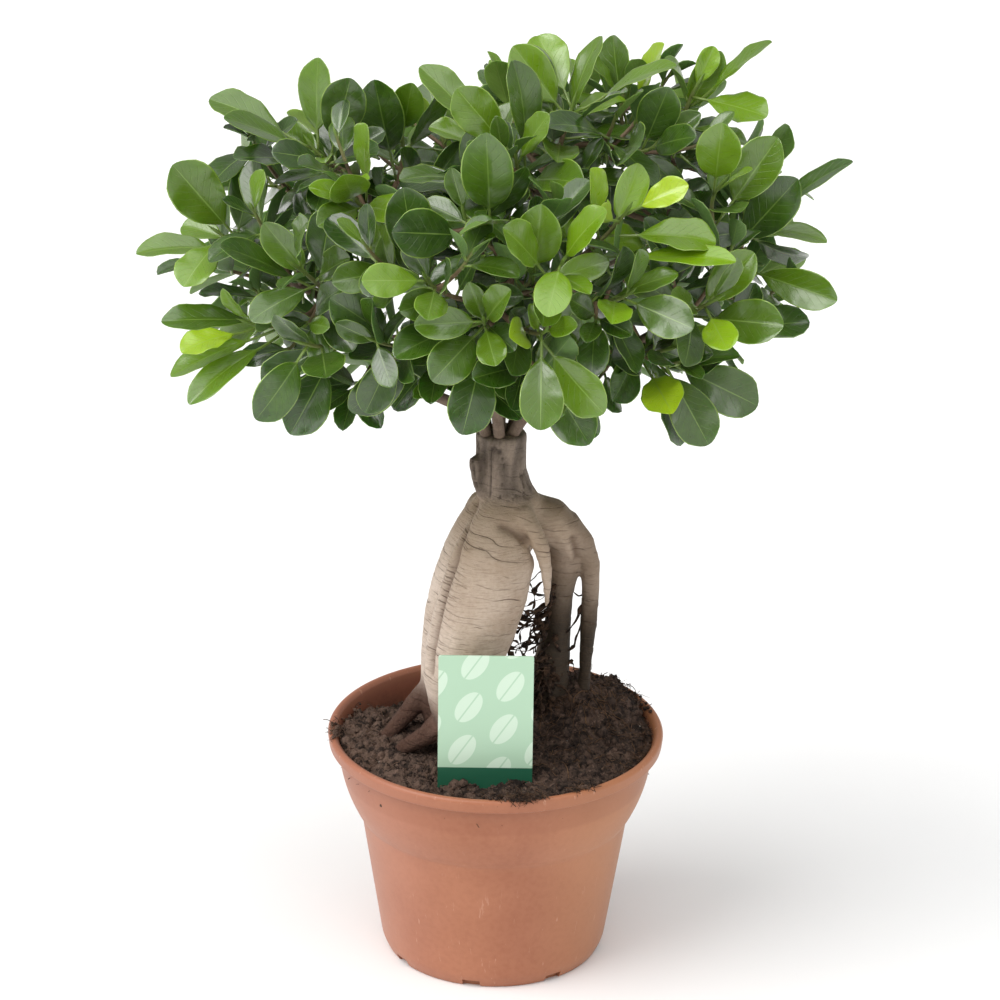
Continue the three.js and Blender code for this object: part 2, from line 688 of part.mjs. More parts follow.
/** Whether a line from p to q goes through the triangle a, b, c. */
function pierces(p, q, a, b, c) {
  const [ux, uy, uz] = [q.x - p.x, q.y - p.y, q.z - p.z];
  const [ex, ey, ez] = [b.x - a.x, b.y - a.y, b.z - a.z];
  const [fx, fy, fz] = [c.x - a.x, c.y - a.y, c.z - a.z];
  const [hx, hy, hz] = [uy * fz - uz * fy, uz * fx - ux * fz, ux * fy - uy * fx];
  const det = ex * hx + ey * hy + ez * hz;
  if (Math.abs(det) < 1e-12) return false;
  const [sx, sy, sz] = [p.x - a.x, p.y - a.y, p.z - a.z];
  const u = (sx * hx + sy * hy + sz * hz) / det;
  if (u < 0 || u > 1) return false;
  const [kx, ky, kz] = [sy * ez - sz * ey, sz * ex - sx * ez, sx * ey - sy * ex];
  const v = (ux * kx + uy * ky + uz * kz) / det;
  if (v < 0 || u + v > 1) return false;
  const t = (fx * kx + fy * ky + fz * kz) / det;
  return t >= 0 && t <= 1;
}

/** A small body that others keep clear of, with its owner and its place along the owner's rings. */
function obstacle(points, triangles, owner, place) {
  const edges = new Map();
  for (const [a, b, c] of triangles) {
    for (const [i, j] of [[a, b], [b, c], [c, a]]) edges.set(Math.min(i, j) * 1000 + Math.max(i, j), [i, j]);
  }
  const box = new THREE.Box3().setFromPoints(points);
  return { points, triangles, edges: [...edges.values()], box, owner, place };
}

/** Whether two small bodies cross. */
function crosses(one, other) {
  if (!one.box.intersectsBox(other.box)) return false;
  for (const [mine, its] of [[one, other], [other, one]]) {
    for (const [i, j] of mine.edges) {
      for (const [a, b, c] of its.triangles) {
        if (pierces(mine.points[i], mine.points[j], its.points[a], its.points[b], its.points[c])) return true;
      }
    }
  }
  return false;
}

/** A short stretch of tube between two rings. */
function stretch(low, high, owner, place) {
  return obstacle([...low, ...high], tubeTriangles(2, low.length), owner, place);
}

/** A ring of a stem with its three points, grown by a margin. */
function stemRing(stem, k, margin) {
  const { centre, e1, e2, turn, radius } = stem.rings[k];
  return [0, 1, 2].map((m) => {
    const angle = turn + (2 * Math.PI * m) / 3;
    const grown = radius + margin;
    return blend([centre, 1], [e1, grown * Math.cos(angle)], [e2, grown * Math.sin(angle)]);
  });
}

/** The axis that is least along a direction. */
function leastAxis(direction) {
  const sizes = [Math.abs(direction.x), Math.abs(direction.y), Math.abs(direction.z)];
  const least = sizes.indexOf(Math.min(...sizes));
  return new THREE.Vector3(Number(least === 0), Number(least === 1), Number(least === 2));
}

/** A stem for a shoot on a branch, one of several that the draw offers. */
function layStem(shoot, phase, scion, curve, back, swing) {
  const tip = vector(shoot.at);
  const aim = tip.clone().sub(CROWN_CENTRE).normalize().addScaledVector(UP, 0.4).normalize();
  const seek = tip.clone().addScaledVector(aim, -back);
  let at = 0.2;
  for (let i = 8; i <= 40; i += 1) {
    if (curve.getPoint(i / 40).distanceTo(seek) < curve.getPoint(at).distanceTo(seek)) at = i / 40;
  }
  const root = curve.getPoint(at);
  const along = curve.getTangent(at);
  const out = at === 1 ? along.clone() : squareTo(blend([tip.clone().sub(root), 1], [swing, 12]), along);
  const offset = at === 1 ? SEAT : lerp(scion.foot, scion.tip, at) + SEAT;
  const start = root.addScaledVector(out, offset);
  const reach = start.distanceTo(tip);
  const control = [
    start,
    blend([start, 1], [out, reach * 0.3], [swing, reach * 0.1]),
    blend([tip, 1], [aim, -reach * 0.35]),
    tip,
  ];
  const zone = Math.min(shoot.leaves * STEM.internode, reach * 0.72) / reach;
  const axis = leastAxis(tip.clone().sub(start));
  const twist = STEM.turn - 360 / 3;
  const rings = [];
  const total = STEM.bareRings + shoot.leaves;
  for (let k = 0; k <= total; k += 1) {
    const slot = Math.max(k - STEM.bareRings, 0);
    const bare = ((1 - zone) * Math.min(k, STEM.bareRings)) / STEM.bareRings;
    const t = bare + (zone * slot) / shoot.leaves;
    const centre = bezier(control, t);
    const ahead = bezier(control, Math.min(t + 0.01, 1));
    const behind = bezier(control, Math.max(t - 0.01, 0));
    const tangent = k === 0 ? out.clone() : ahead.sub(behind).normalize();
    const e1 = squareTo(axis, tangent);
    const e2 = new THREE.Vector3().crossVectors(tangent, e1);
    const turn = radians(phase + twist * slot - 180 / 3);
    rings.push({ centre, tangent, e1, e2, turn, radius: lerp(STEM.foot, STEM.tip, t) });
  }
  const bud = blend([tip, 1], [rings[total].tangent, STEM.bud]);
  return { rings, bud, slots: shoot.leaves };
}

/** The four stem points that a leaf grows from, counter-clockwise as seen from outside. */
function slotCorners(stem, slot) {
  const k = STEM.bareRings + slot;
  const side = slot % 3;
  const [low, high] = [stemRing(stem, k, 0), stemRing(stem, k + 1, 0)];
  const next = (side + 1) % 3;
  return [low[side], low[next], high[next], high[side]];
}

/** The outward direction and the stem's direction at a leaf's slot. */
function slotFrame(stem, slot) {
  const [low, high] = [stem.rings[STEM.bareRings + slot], stem.rings[STEM.bareRings + slot + 1]];
  const centre = blend(...slotCorners(stem, slot).map((corner) => [corner, 0.25]));
  const hub = blend([low.centre, 0.5], [high.centre, 0.5]);
  return { centre, along: low.tangent, out: squareTo(centre.clone().sub(hub), low.tangent) };
}

/** The rings and the tip of a leaf, grown by a margin: lower midrib, right edge, upper midrib, left edge. */
function leafRings(leaf, margin) {
  const chord = leaf.tip.clone().sub(leaf.base);
  const length = chord.length() + margin;
  const reach = chord.normalize();
  const facing = squareTo(leaf.facing, reach);
  const start = blend([reach, Math.cos(leaf.arch / 2)], [facing, Math.sin(leaf.arch / 2)]);
  const normal = blend([facing, Math.cos(leaf.arch / 2)], [reach, -Math.sin(leaf.arch / 2)]);
  const right = new THREE.Vector3().crossVectors(normal, start);
  const stalk = length * LEAF.petiole;
  const blade = length - stalk;
  const origin = blend([leaf.base, 1], [start, stalk]);
  const round = LEAF.petioleRadius + margin;
  const rings = [[
    blend([origin, 1], [normal, -round]),
    blend([origin, 1], [right, round]),
    blend([origin, 1], [normal, round]),
    blend([origin, 1], [right, -round]),
  ]];
  const along = (t) => {
    const turn = leaf.arch * t;
    const share = blade / leaf.arch;
    return blend([origin, 1], [start, share * Math.sin(turn)], [normal, share * (Math.cos(turn) - 1)]);
  };
  LEAF.stations.forEach((t, i) => {
    const turn = leaf.arch * t;
    const centre = along(t);
    const up = blend([normal, Math.cos(turn)], [start, Math.sin(turn)]);
    const half = leaf.half * LEAF.widths[i] + margin;
    const [side, rise] = [half * Math.cos(leaf.fold), half * Math.sin(leaf.fold)];
    const thick = LEAF.midrib + margin;
    rings.push([
      blend([centre, 1], [up, -thick]),
      blend([centre, 1], [right, side], [up, rise]),
      blend([centre, 1], [up, thick]),
      blend([centre, 1], [right, -side], [up, rise]),
    ]);
  });
  return { rings, tip: along(1) };
}

/** Triangles between two leaf rings, with the same diagonals on both faces of the blade. */
function bladeTriangles(low, high) {
  const triangles = [];
  for (let m = 0; m < 4; m += 1) {
    const next = (m + 1) % 4;
    if (m % 2 === 0) triangles.push([low[m], low[next], high[next]], [low[m], high[next], high[m]]);
    else triangles.push([low[m], low[next], high[m]], [low[next], high[next], high[m]]);
  }
  return triangles;
}

/** A leaf as a small closed body from near its stem to its tip, with no place among the stem's rings. */
function leafBody(leaf, corners, margin, owner) {
  const { rings, tip } = leafRings(leaf, margin);
  const near = rings[0].map((p, m) => blend([p, 0.5], [corners[m], 0.5]));
  const points = [...near, ...rings.flat(), tip];
  const triangles = [[0, 2, 1], [0, 3, 2]];
  const ids = (k) => [0, 1, 2, 3].map((m) => 4 * k + m);
  for (let k = 0; k < rings.length; k += 1) triangles.push(...bladeTriangles(ids(k), ids(k + 1)));
  const end = ids(rings.length);
  for (let m = 0; m < 4; m += 1) triangles.push([end[m], end[(m + 1) % 4], points.length - 1]);
  return obstacle(points, triangles, owner, Infinity);
}

/** Whether a body keeps clear of all placed ones, apart from those that it grows from. */
function isClear(body, placed, spared) {
  return !placed.some((other) => !spared(other) && crosses(body, other));
}

/** One leaf at a slot, by the rule for its age, with a looser draw at each try. */
function drawLeaf(shoot, stem, slot, draw, attempt) {
  const { centre, along, out } = slotFrame(stem, slot);
  const age = 1 - slot / (stem.slots - 1);
  const loose = 1 + attempt * HABIT.loosen;
  const pitch = radians(within(HABIT.pitch, age ** 0.8) + (draw() - 0.5) * HABIT.pitchSpread * loose);
  const swing = radians((draw() - 0.5) * HABIT.swingSpread * loose);
  const grown = within(HABIT.growth, age ** 0.5) * within(HABIT.length, draw());
  const length = shoot.size * grown * (1 - attempt * HABIT.shrink);
  const side = new THREE.Vector3().crossVectors(along, out);
  const radial = blend([out, Math.cos(swing)], [side, Math.sin(swing)]);
  const reach = blend([along, Math.cos(pitch)], [radial, Math.sin(pitch)], [UP, -HABIT.droop * age]);
  const outward = centre.clone().sub(CROWN_CENTRE).normalize();
  const facing = blend(
    [along, Math.sin(pitch)],
    [radial, -Math.cos(pitch)],
    [outward, HABIT.outward],
    [UP, HABIT.upward],
  );
  return {
    base: centre,
    tip: blend([centre, 1], [reach.normalize(), length]),
    facing,
    half: length * within(HABIT.halfWidth, draw()),
    arch: within(HABIT.arch, draw() * lerp(0.4, 1, age)),
    fold: within(HABIT.fold, draw()),
    youth: THREE.MathUtils.clamp(
      shoot.youth + (0.45 - age) * 0.5 + (draw() - 0.5) * HABIT.youthSpread, 0, 1),
  };
}

/** One chosen leaf, moved a little more at each try. */
function chosenLeaf(row, centre, draw, attempt) {
  const [x, y, z, facing, width, youth] = row;
  const shift = () => (draw() - 0.5) * attempt * 0.9;
  const tip = new THREE.Vector3(x + shift(), y + 1.6 * shift(), z + shift());
  const length = tip.distanceTo(centre);
  return {
    base: centre,
    tip,
    facing: vector(FACING[facing]).add(new THREE.Vector3(shift(), shift(), shift()).multiplyScalar(0.02)),
    half: (Math.min(length, LEAF.longest) * width) / 2,
    arch: lerp(0.15, 0.5, draw()),
    fold: lerp(0.1, 0.26, draw()),
    youth,
  };
}

/** The free slot whose outward direction suits a chosen leaf best. */
function bestSlot(stem, tip, taken) {
  let best = -1;
  let most = -Infinity;
  for (let slot = 0; slot < stem.slots; slot += 1) {
    const { centre, out } = slotFrame(stem, slot);
    const suits = out.dot(tip.clone().sub(centre).normalize());
    if (!taken.has(slot) && suits > most) [best, most] = [slot, suits];
  }
  return best;
}

/** The bodies of the grafted branches and of the stump's top, which the shoots keep clear of. */
function woodBodies() {
  const bodies = [];
  SCIONS.forEach((scion, s) => {
    const rings = scionRings(scion);
    rings.slice(1).forEach((high, k) => bodies.push(stretch(rings[k], high, "scion" + s, k)));
  });
  const [low, high] = [STUMP.clearFrom, STUMP.height + 1].map((height) =>
    Array.from({ length: 8 }, (_, m) => {
      const angle = (Math.PI * m) / 4;
      return new THREE.Vector3(Math.cos(angle), Math.sin(angle), 0).setLength(STUMP.clearRadius).setZ(height);
    }));
  bodies.push(stretch(low, high, "stump", 0));
  return bodies;
}

/** The bodies of a stem between its rings, grown by a margin. */
function stemBodies(stem, margin, owner) {
  const bodies = [];
  for (let k = 0; k + 1 < stem.rings.length; k += 1) {
    bodies.push(stretch(stemRing(stem, k, margin), stemRing(stem, k + 1, margin), owner, k));
  }
  return bodies;
}

/** The branches in the order of their distance from a point, nearest first. */
function nearestScions(curves, point) {
  const near = curves.map((curve) =>
    Math.min(...Array.from({ length: 33 }, (_, k) => curve.getPoint((k + 8) / 40).distanceTo(point))));
  return near.map((_, s) => s).sort((a, b) => near[a] - near[b]);
}

/** A stem for a shoot, clear of what is placed: first on the nearest branch, then on the next one. */
function growStem(shoot, i, curves, placed) {
  const draw = seeded(SEEDS.stem + i);
  const order = nearestScions(curves, vector(shoot.at));
  const phase = 360 * draw();
  const half = STEM.tries / 2;
  for (let attempt = 0; attempt < STEM.tries; attempt += 1) {
    const s = order[attempt < half ? 0 : 1];
    const back = 28 + attempt % half;
    const swing = new THREE.Vector3(draw() - 0.5, draw() - 0.5, draw() - 0.5).multiplyScalar(0.06 * attempt);
    const stem = layStem(shoot, phase, SCIONS[s], curves[s], back, swing);
    const spared = (other) => other.owner === "scion" + s;
    const clear = stemBodies(stem, STEM.clear, "shoot" + i)
      .every((body, k) => isClear(body, placed, k === 0 ? spared : () => false));
    if (!clear) continue;
    const end = stem.rings.length - 1;
    const bud = [...stemRing(stem, end, 0), stem.bud];
    placed.push(...stemBodies(stem, 0, "shoot" + i));
    placed.push(obstacle(bud, [[0, 1, 3], [1, 2, 3], [2, 0, 3]], "shoot" + i, end));
    return stem;
  }
  return null;
}

/** Places a leaf at a slot, at the first try that is clear of all others. */
function settleLeaf(stem, i, slot, make, draw, placed, leaves) {
  const corners = slotCorners(stem, slot);
  const ring = STEM.bareRings + slot;
  const owner = "shoot" + i;
  const spared = (other) => other.owner === owner && Math.abs(other.place - ring) <= 1;
  for (let attempt = 0; attempt < LEAF.tries; attempt += 1) {
    const leaf = make(draw, attempt);
    if (!isClear(leafBody(leaf, corners, LEAF.clear, owner), placed, spared)) continue;
    placed.push(leafBody(leaf, corners, 0, owner));
    leaves.set(slot, leaf);
    return;
  }
}

/** The crown: stems first, then the chosen leaves, then the rest by the rule, each clear of the others. */
function growCrown() {
  const placed = woodBodies();
  const curves = SCIONS.map(scionCurve);
  const stems = SHOOTS.map((shoot, i) => growStem(shoot, i, curves, placed));
  const leaves = SHOOTS.map(() => new Map());
  const grown = SHOOTS.map((shoot, i) => i).filter((i) => stems[i]);
  for (const i of grown) {
    SHOOTS[i].chosen.forEach((row, c) => {
      const slot = bestSlot(stems[i], vector(row), leaves[i]);
      if (slot < 0) return;
      const { centre } = slotFrame(stems[i], slot);
      const make = (draw, attempt) => chosenLeaf(row, centre, draw, attempt);
      settleLeaf(stems[i], i, slot, make, seeded(SEEDS.chosen + SEEDS.step * i + c), placed, leaves[i]);
    });
  }
  for (const i of grown) {
    for (let slot = 0; slot < stems[i].slots; slot += 1) {
      if (leaves[i].has(slot)) continue;
      const make = (draw, attempt) => drawLeaf(SHOOTS[i], stems[i], slot, draw, attempt);
      settleLeaf(stems[i], i, slot, make, seeded(SEEDS.rule + SEEDS.step * i + slot), placed, leaves[i]);
    }
  }
  return { stems, leaves };
}

/** A leafy stem as one closed mesh: the stem's tube, with a leaf in place of each slot's wall. */
function shootGeometry(stem, leaves) {
  const points = [];
  const triangles = [];
  const last = stem.rings.length - 1;
  for (let k = 0; k <= last; k += 1) points.push(...stemRing(stem, k, 0));
  points.push(stem.bud);
  const bud = points.length - 1;
  triangles.push([0, 2, 1]);
  for (let m = 0; m < 3; m += 1) triangles.push([3 * last + m, 3 * last + ((m + 1) % 3), bud]);
  for (let k = 0; k < last; k += 1) {
    const slot = k - STEM.bareRings;
    for (let m = 0; m < 3; m += 1) {
      const next = (m + 1) % 3;
      const quad = [3 * k + m, 3 * k + next, 3 * k + 3 + next, 3 * k + 3 + m];
      const leaf = slot % 3 === m ? leaves.get(slot) : undefined;
      if (!leaf) {
        triangles.push([quad[0], quad[1], quad[2]], [quad[0], quad[2], quad[3]]);
        continue;
      }
      const { rings, tip } = leafRings(leaf, 0);
      let low = quad;
      for (const ring of rings) {
        const high = ring.map((p) => points.push(p) - 1);
        triangles.push(...bladeTriangles(low, high));
        low = high;
      }
      const end = points.push(tip) - 1;
      for (let n = 0; n < 4; n += 1) triangles.push([low[n], low[(n + 1) % 4], end]);
    }
  }
  return meshOf(points, triangles);
}

const group = new THREE.Group();

/** Adds a named sub-part with its own material. */
function addPart(name, geometry, finish) {
  const material = new THREE.MeshStandardMaterial({ ...FINISHES[finish], metalness: 0 });
  const mesh = new THREE.Mesh(geometry, material);
  mesh.name = name;
  group.add(mesh);
}

addPart("pot", potGeometry(), "pot");
addPart("soil", soilGeometry([rootstockSolid(GAP), solid(labelGeometry(GAP))]), "soil");
addPart("rootstock", geometryOf(rootstockSolid(0)), "rootstock");
addPart("label", labelGeometry(0), "label");
SCIONS.forEach((scion, s) => {
  const rings = scionRings(scion);
  addPart("scion_" + (s + 1), meshOf(rings.flat(), tubeTriangles(rings.length, SCION_SIDES)), "scion");
});
const crown = growCrown();
crown.stems.forEach((stem, i) => {
  const name = "shoot_" + String(i + 1).padStart(2, "0");
  if (stem) addPart(name, shootGeometry(stem, crown.leaves[i]), "leaf");
});

export default group;
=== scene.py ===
"""Looks of a potted ginseng ficus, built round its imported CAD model. Lengths are in metres."""

import json
import logging
import math
import random
from dataclasses import dataclass, field
from enum import Enum
from functools import cache
from itertools import product
from typing import Any, Callable, Iterable, Sequence, Union

import bmesh
import bpy
from bmesh.types import BMesh, BMVert
from bpy.types import Material, Mesh, Node, NodeSocket, NodeTree, Object
from mathutils import Matrix, Quaternion, Vector
from mathutils.bvhtree import BVHTree
from mathutils.kdtree import KDTree

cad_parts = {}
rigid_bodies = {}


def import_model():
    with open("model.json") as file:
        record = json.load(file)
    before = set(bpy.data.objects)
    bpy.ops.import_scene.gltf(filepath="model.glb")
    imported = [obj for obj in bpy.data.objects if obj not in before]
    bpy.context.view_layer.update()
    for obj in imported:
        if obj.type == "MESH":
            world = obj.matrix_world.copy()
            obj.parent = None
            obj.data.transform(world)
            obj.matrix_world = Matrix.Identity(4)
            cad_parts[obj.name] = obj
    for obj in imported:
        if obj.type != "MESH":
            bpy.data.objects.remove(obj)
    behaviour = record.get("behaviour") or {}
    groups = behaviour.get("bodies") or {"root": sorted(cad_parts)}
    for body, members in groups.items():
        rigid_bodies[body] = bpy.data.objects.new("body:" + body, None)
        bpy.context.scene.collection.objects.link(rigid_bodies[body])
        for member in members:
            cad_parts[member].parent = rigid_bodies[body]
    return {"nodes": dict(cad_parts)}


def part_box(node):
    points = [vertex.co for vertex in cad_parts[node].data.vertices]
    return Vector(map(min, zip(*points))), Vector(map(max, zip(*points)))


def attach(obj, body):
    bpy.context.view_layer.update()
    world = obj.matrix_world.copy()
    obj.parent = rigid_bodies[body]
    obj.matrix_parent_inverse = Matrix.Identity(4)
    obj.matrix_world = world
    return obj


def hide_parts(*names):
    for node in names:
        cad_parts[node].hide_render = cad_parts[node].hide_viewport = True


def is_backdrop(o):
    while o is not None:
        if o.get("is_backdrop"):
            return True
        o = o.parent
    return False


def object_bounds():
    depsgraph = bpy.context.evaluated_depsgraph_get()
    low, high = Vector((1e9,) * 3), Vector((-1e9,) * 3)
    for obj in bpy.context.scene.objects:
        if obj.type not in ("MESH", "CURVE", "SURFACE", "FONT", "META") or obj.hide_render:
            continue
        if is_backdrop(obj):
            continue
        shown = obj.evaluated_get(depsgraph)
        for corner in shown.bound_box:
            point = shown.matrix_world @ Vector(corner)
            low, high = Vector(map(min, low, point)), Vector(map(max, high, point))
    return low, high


for leftover in list(bpy.data.objects):
    bpy.data.objects.remove(leftover)

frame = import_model()

log = logging.getLogger("ficus")

MM = 0.001
BODY = "root"
UP = Vector((0.0, 0.0, 1.0))

# Steps that a tube takes between two points of its line.
STEPS_A_HOP = 3


class Slot(Enum):
    """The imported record's material slots."""

    POT = "pot"
    SOIL = "soil"
    BARK = "bark"
    TWIG = "twig"
    LEAF = "leaf"
    CARD = "card"


class Kind(Enum):
    """Socket types of a node group."""

    GEOMETRY = "NodeSocketGeometry"
    NUMBER = "NodeSocketFloat"
    COUNT = "NodeSocketInt"
    VECTOR = "NodeSocketVector"
    COLOUR = "NodeSocketColor"
    OBJECT = "NodeSocketObject"
    MATERIAL = "NodeSocketMaterial"


Colour = tuple[float, float, float]
Place = tuple[float, float, float]
Pair = tuple[float, float]
Span = tuple[int, int]
Rows = tuple[tuple[float, ...], ...]
Value = Union["Field", float, Sequence[float]]


def srgb(red: int, green: int, blue: int) -> Colour:
    """A screen colour, 0 to 255 a channel, as the linear colour that materials take."""
    return tuple(
        c / 12.92 if c <= 0.04045 else ((c + 0.055) / 1.055) ** 2.4
        for c in (red / 255, green / 255, blue / 255)
    )


def put(thing: Any, **settings: Any) -> Any:
    """Sets several of a thing's properties in order, and gives it back."""
    for name, setting in settings.items():
        setattr(thing, name, setting)
    return thing


def snake(name: str) -> str:
    """A socket's name in small letters with underscores."""
    return name.lower().replace(" ", "_")


def arithmetic(operation: str, flipped: bool = False) -> Callable[["Field", Value], "Field"]:
    """A field's method that joins it with another value, which stands on the left if flipped."""

    def method(one: "Field", other: Value) -> "Field":
        """The joined value."""
        return one.canvas.join(operation, *((other, one) if flipped else (one, other)))

    return method


class Field:
    """A socket's value in a node tree, on which arithmetic can be written."""

    def __init__(self, canvas: "Canvas", socket: NodeSocket) -> None:
        """Keeps the canvas that the value is on, and its socket."""
        self.canvas = canvas
        self.socket = socket

    __add__ = __radd__ = arithmetic("ADD")
    __sub__ = arithmetic("SUBTRACT")
    __rsub__ = arithmetic("SUBTRACT", flipped=True)
    __mul__ = __rmul__ = arithmetic("MULTIPLY")
    __truediv__ = arithmetic("DIVIDE")
    __rtruediv__ = arithmetic("DIVIDE", flipped=True)
    __pow__ = arithmetic("POWER")

    def __abs__(self) -> "Field":
        """The number without its sign."""
        return self.canvas.math("ABSOLUTE", self)


def is_vector(value: Value) -> bool:
    """Whether a value, on a socket or plain, has three numbers."""
    if isinstance(value, Field):
        return value.socket.type in {"VECTOR", "RGBA"}
    return not isinstance(value, (int, float))


class Canvas:
    """Writes nodes into one node tree."""

    def __init__(self, tree: NodeTree) -> None:
        """Keeps the tree."""
        self.tree = tree

    def feed(self, socket: NodeSocket, value: Any) -> None:
        """Links a field to an input socket, or sets the socket's own value.

        Args:
            socket: The input socket.
            value: A field, a number, a colour, a vector, a name or a data block.
        """
        if isinstance(value, Field):
            self.tree.links.new(value.socket, socket)
        elif socket.type == "RGBA" and len(value) == 3:
            socket.default_value = (*value, 1.0)
        elif socket.type == "VECTOR" and isinstance(value, (int, float)):
            socket.default_value = (value, value, value)
        else:
            socket.default_value = value

    def node(self, kind: str, inputs: dict[str, Any] | None = None, **settings: Any) -> Node:
        """Adds a node.

        Args:
            kind: Blender's name for the node type.
            inputs: Values by socket name.
            **settings: The node's own properties, set before its inputs.

        Returns:
            The new node.
        """
        node = put(self.tree.nodes.new(kind), **settings)
        for name, value in (inputs or {}).items():
            self.feed(self.find(node.inputs, name), value)
        return node

    @staticmethod
    def find(sockets: Iterable[NodeSocket], name: str) -> NodeSocket:
        """The first socket in use with that name or identifier."""
        return next(s for s in sockets if s.enabled and name in (s.name, s.identifier))

    def out(self, node: Node, name: str | None = None) -> Field:
        """A node's output by name, or its first one in use."""
        sockets = [s for s in node.outputs if s.enabled]
        return Field(self, self.find(sockets, name) if name else sockets[0])

    def value(self, kind: str, inputs: dict[str, Any] | None = None, **settings: Any) -> Field:
        """Adds a node as node() does, and gives its first output in use."""
        return self.out(self.node(kind, inputs, **settings))

    def math(self, operation: str, *values: Value, kind: str = "ShaderNodeMath") -> Field:
        """A Math or Vector Math node on values, in the order of its inputs in use."""
        node = self.node(kind, operation=operation)
        for socket, value in zip([s for s in node.inputs if s.enabled], values):
            self.feed(socket, value)
        return self.out(node)

    def join(self, operation: str, first: Value, second: Value) -> Field:
        """Arithmetic on two values, of which at least one is a field.

        Args:
            operation: ADD, SUBTRACT, MULTIPLY, DIVIDE or POWER.
            first: The value on the left.
            second: The value on the right.

        Returns:
            The result, a vector where either value is one.
        """
        kinds = (is_vector(first), is_vector(second))
        if not any(kinds):
            return self.math(operation, first, second)
        if operation == "MULTIPLY" and not all(kinds):
            operation, first, second = "SCALE", *((first, second) if kinds[0] else (second, first))
        return self.math(operation, first, second, kind="ShaderNodeVectorMath")

    def swing(self, angle: Field) -> tuple[Field, Field]:
        """An angle's sine and cosine."""
        return self.math("SINE", angle), self.math("COSINE", angle)

    def parts(self, vector: Field) -> list[Field]:
        """The three numbers of a vector."""
        return [Field(self, s) for s in self.node("ShaderNodeSeparateXYZ", {"Vector": vector}).outputs]

    def step(self, value: Value, low: float, high: float) -> Field:
        """Goes smoothly from 0 to 1 as a value goes from low to high."""
        inputs = {"Value": value, "From Min": low, "From Max": high}
        return self.value("ShaderNodeMapRange", inputs, interpolation_type="SMOOTHSTEP")

    def between(self, first: Value, second: Value, share: Value) -> Field:
        """A number or a vector between two others."""
        return first + (second - first) * share

    def tint(self, first: Value, second: Value, share: Value) -> Field:
        """A colour between two others."""
        return self.value("ShaderNodeMix", {"Factor": share, "A": first, "B": second}, data_type="RGBA")

    def layered(self, colour: Value, *layers: tuple[Value, Value]) -> Value:
        """A colour with others laid over it in order, each to its own share."""
        for over, share in layers:
            colour = self.tint(colour, over, share)
        return colour

    def noise(self, place: Value, scale: Value, detail: float = 2.0, rough: float = 0.5) -> Field:
        """Smooth noise, about 0 to 1."""
        inputs = {"Vector": place, "Scale": scale, "Detail": detail, "Roughness": rough}
        return self.out(self.node("ShaderNodeTexNoise", inputs), "Fac")

    def stripe(self, phase: Field, width: float) -> Field:
        """Thin lines, 1 at their middle, wherever a phase passes a whole number and a half."""
        away = abs(self.math("FRACT", phase) - 0.5)
        return 1.0 - self.step(away, width * 0.25, width)

    def creases(self, place: Field, spacing: float, width: float, drift: float) -> Field:
        """Broken creases that run round a root, about level, as on swollen bark.

        Args:
            place: The position in millimetres.
            spacing: The mean distance between two creases, in millimetres.
            width: Half the width of a crease as a share of the spacing.
            drift: Sets one family of creases apart from another.

        Returns:
            1 in the middle of a crease and 0 away from all.
        """
        x, _, z = self.parts(place)
        bent = self.noise(place * (0.03, 0.03, 0.05) + drift, 1.0, 2.0) * 9.0
        wander = self.noise(place * (0.07, 0.07, 0.16) + drift, 1.0, 1.0) * 0.7
        lines = self.stripe((z + x * 0.2 + bent) / spacing + wander, width)
        shown = self.noise(place * (0.024, 0.024, 0.9 / spacing) - drift, 1.0, 2.0, 0.6)
        return lines * self.step(shown, 0.5, 0.62)


class Recipe(Canvas):
    """A node group with named inputs and one output."""

    def __init__(
        self, name: str, tree_kind: str, inputs: dict[Kind, Sequence[str]], output: str, kind: Kind
    ) -> None:
        """Makes the group and its sockets.

        Args:
            name: The group's name.
            tree_kind: ShaderNodeTree or GeometryNodeTree.
            inputs: Names of the inputs by kind. Whoever uses the group sets them all.
            output: The output's name.
            kind: The output's kind.
        """
        super().__init__(bpy.data.node_groups.new(name, tree_kind))
        sockets = self.tree.interface
        for input_kind, labels in inputs.items():
            for label in labels:
                sockets.new_socket(label, in_out="INPUT", socket_type=input_kind.value)
        sockets.new_socket(output, in_out="OUTPUT", socket_type=kind.value)
        self.entry = self.node("NodeGroupInput")
        self.exit = self.node("NodeGroupOutput")

    def __getitem__(self, name: str) -> Field:
        """The value of one of the group's inputs."""
        return self.out(self.entry, name)

    def give(self, value: Value) -> NodeTree:
        """Feeds the group's output, and gives the finished group."""
        self.feed(self.exit.inputs[0], value)
        return self.tree


def mottle_group() -> NodeTree:
    """Two colours that run into each other in soft patches, with fine specks of the darker one."""
    inputs = {Kind.VECTOR: ["Place"], Kind.COLOUR: ["Light", "Dark"], Kind.NUMBER: ["Patch", "Speck"]}
    recipe = Recipe("mottle", "ShaderNodeTree", inputs, "Colour", Kind.COLOUR)
    patches = recipe.step(recipe.noise(recipe["Place"], recipe["Patch"], 4.0), 0.3, 0.7)
    specks = recipe.step(recipe.noise(recipe["Place"], recipe["Speck"]), 0.35, 0.75)
    return recipe.give(recipe.tint(recipe["Light"], recipe["Dark"], patches * 0.7 + specks * 0.3))


def grime_group() -> NodeTree:
    """Soil dust that clings up to a height above the soil, in ragged patches."""
    inputs = {Kind.VECTOR: ["Place"], Kind.NUMBER: ["Clean Height", "Fade"]}
    recipe = Recipe("grime", "ShaderNodeTree", inputs, "Mask", Kind.NUMBER)
    ragged = recipe.noise(recipe["Place"], 0.12, 4.0, 0.65) - 0.5
    height = recipe.parts(recipe["Place"])[2] + ragged * 34.0
    return recipe.give(recipe.step((recipe["Clean Height"] - height) / recipe["Fade"], 0.0, 1.0))


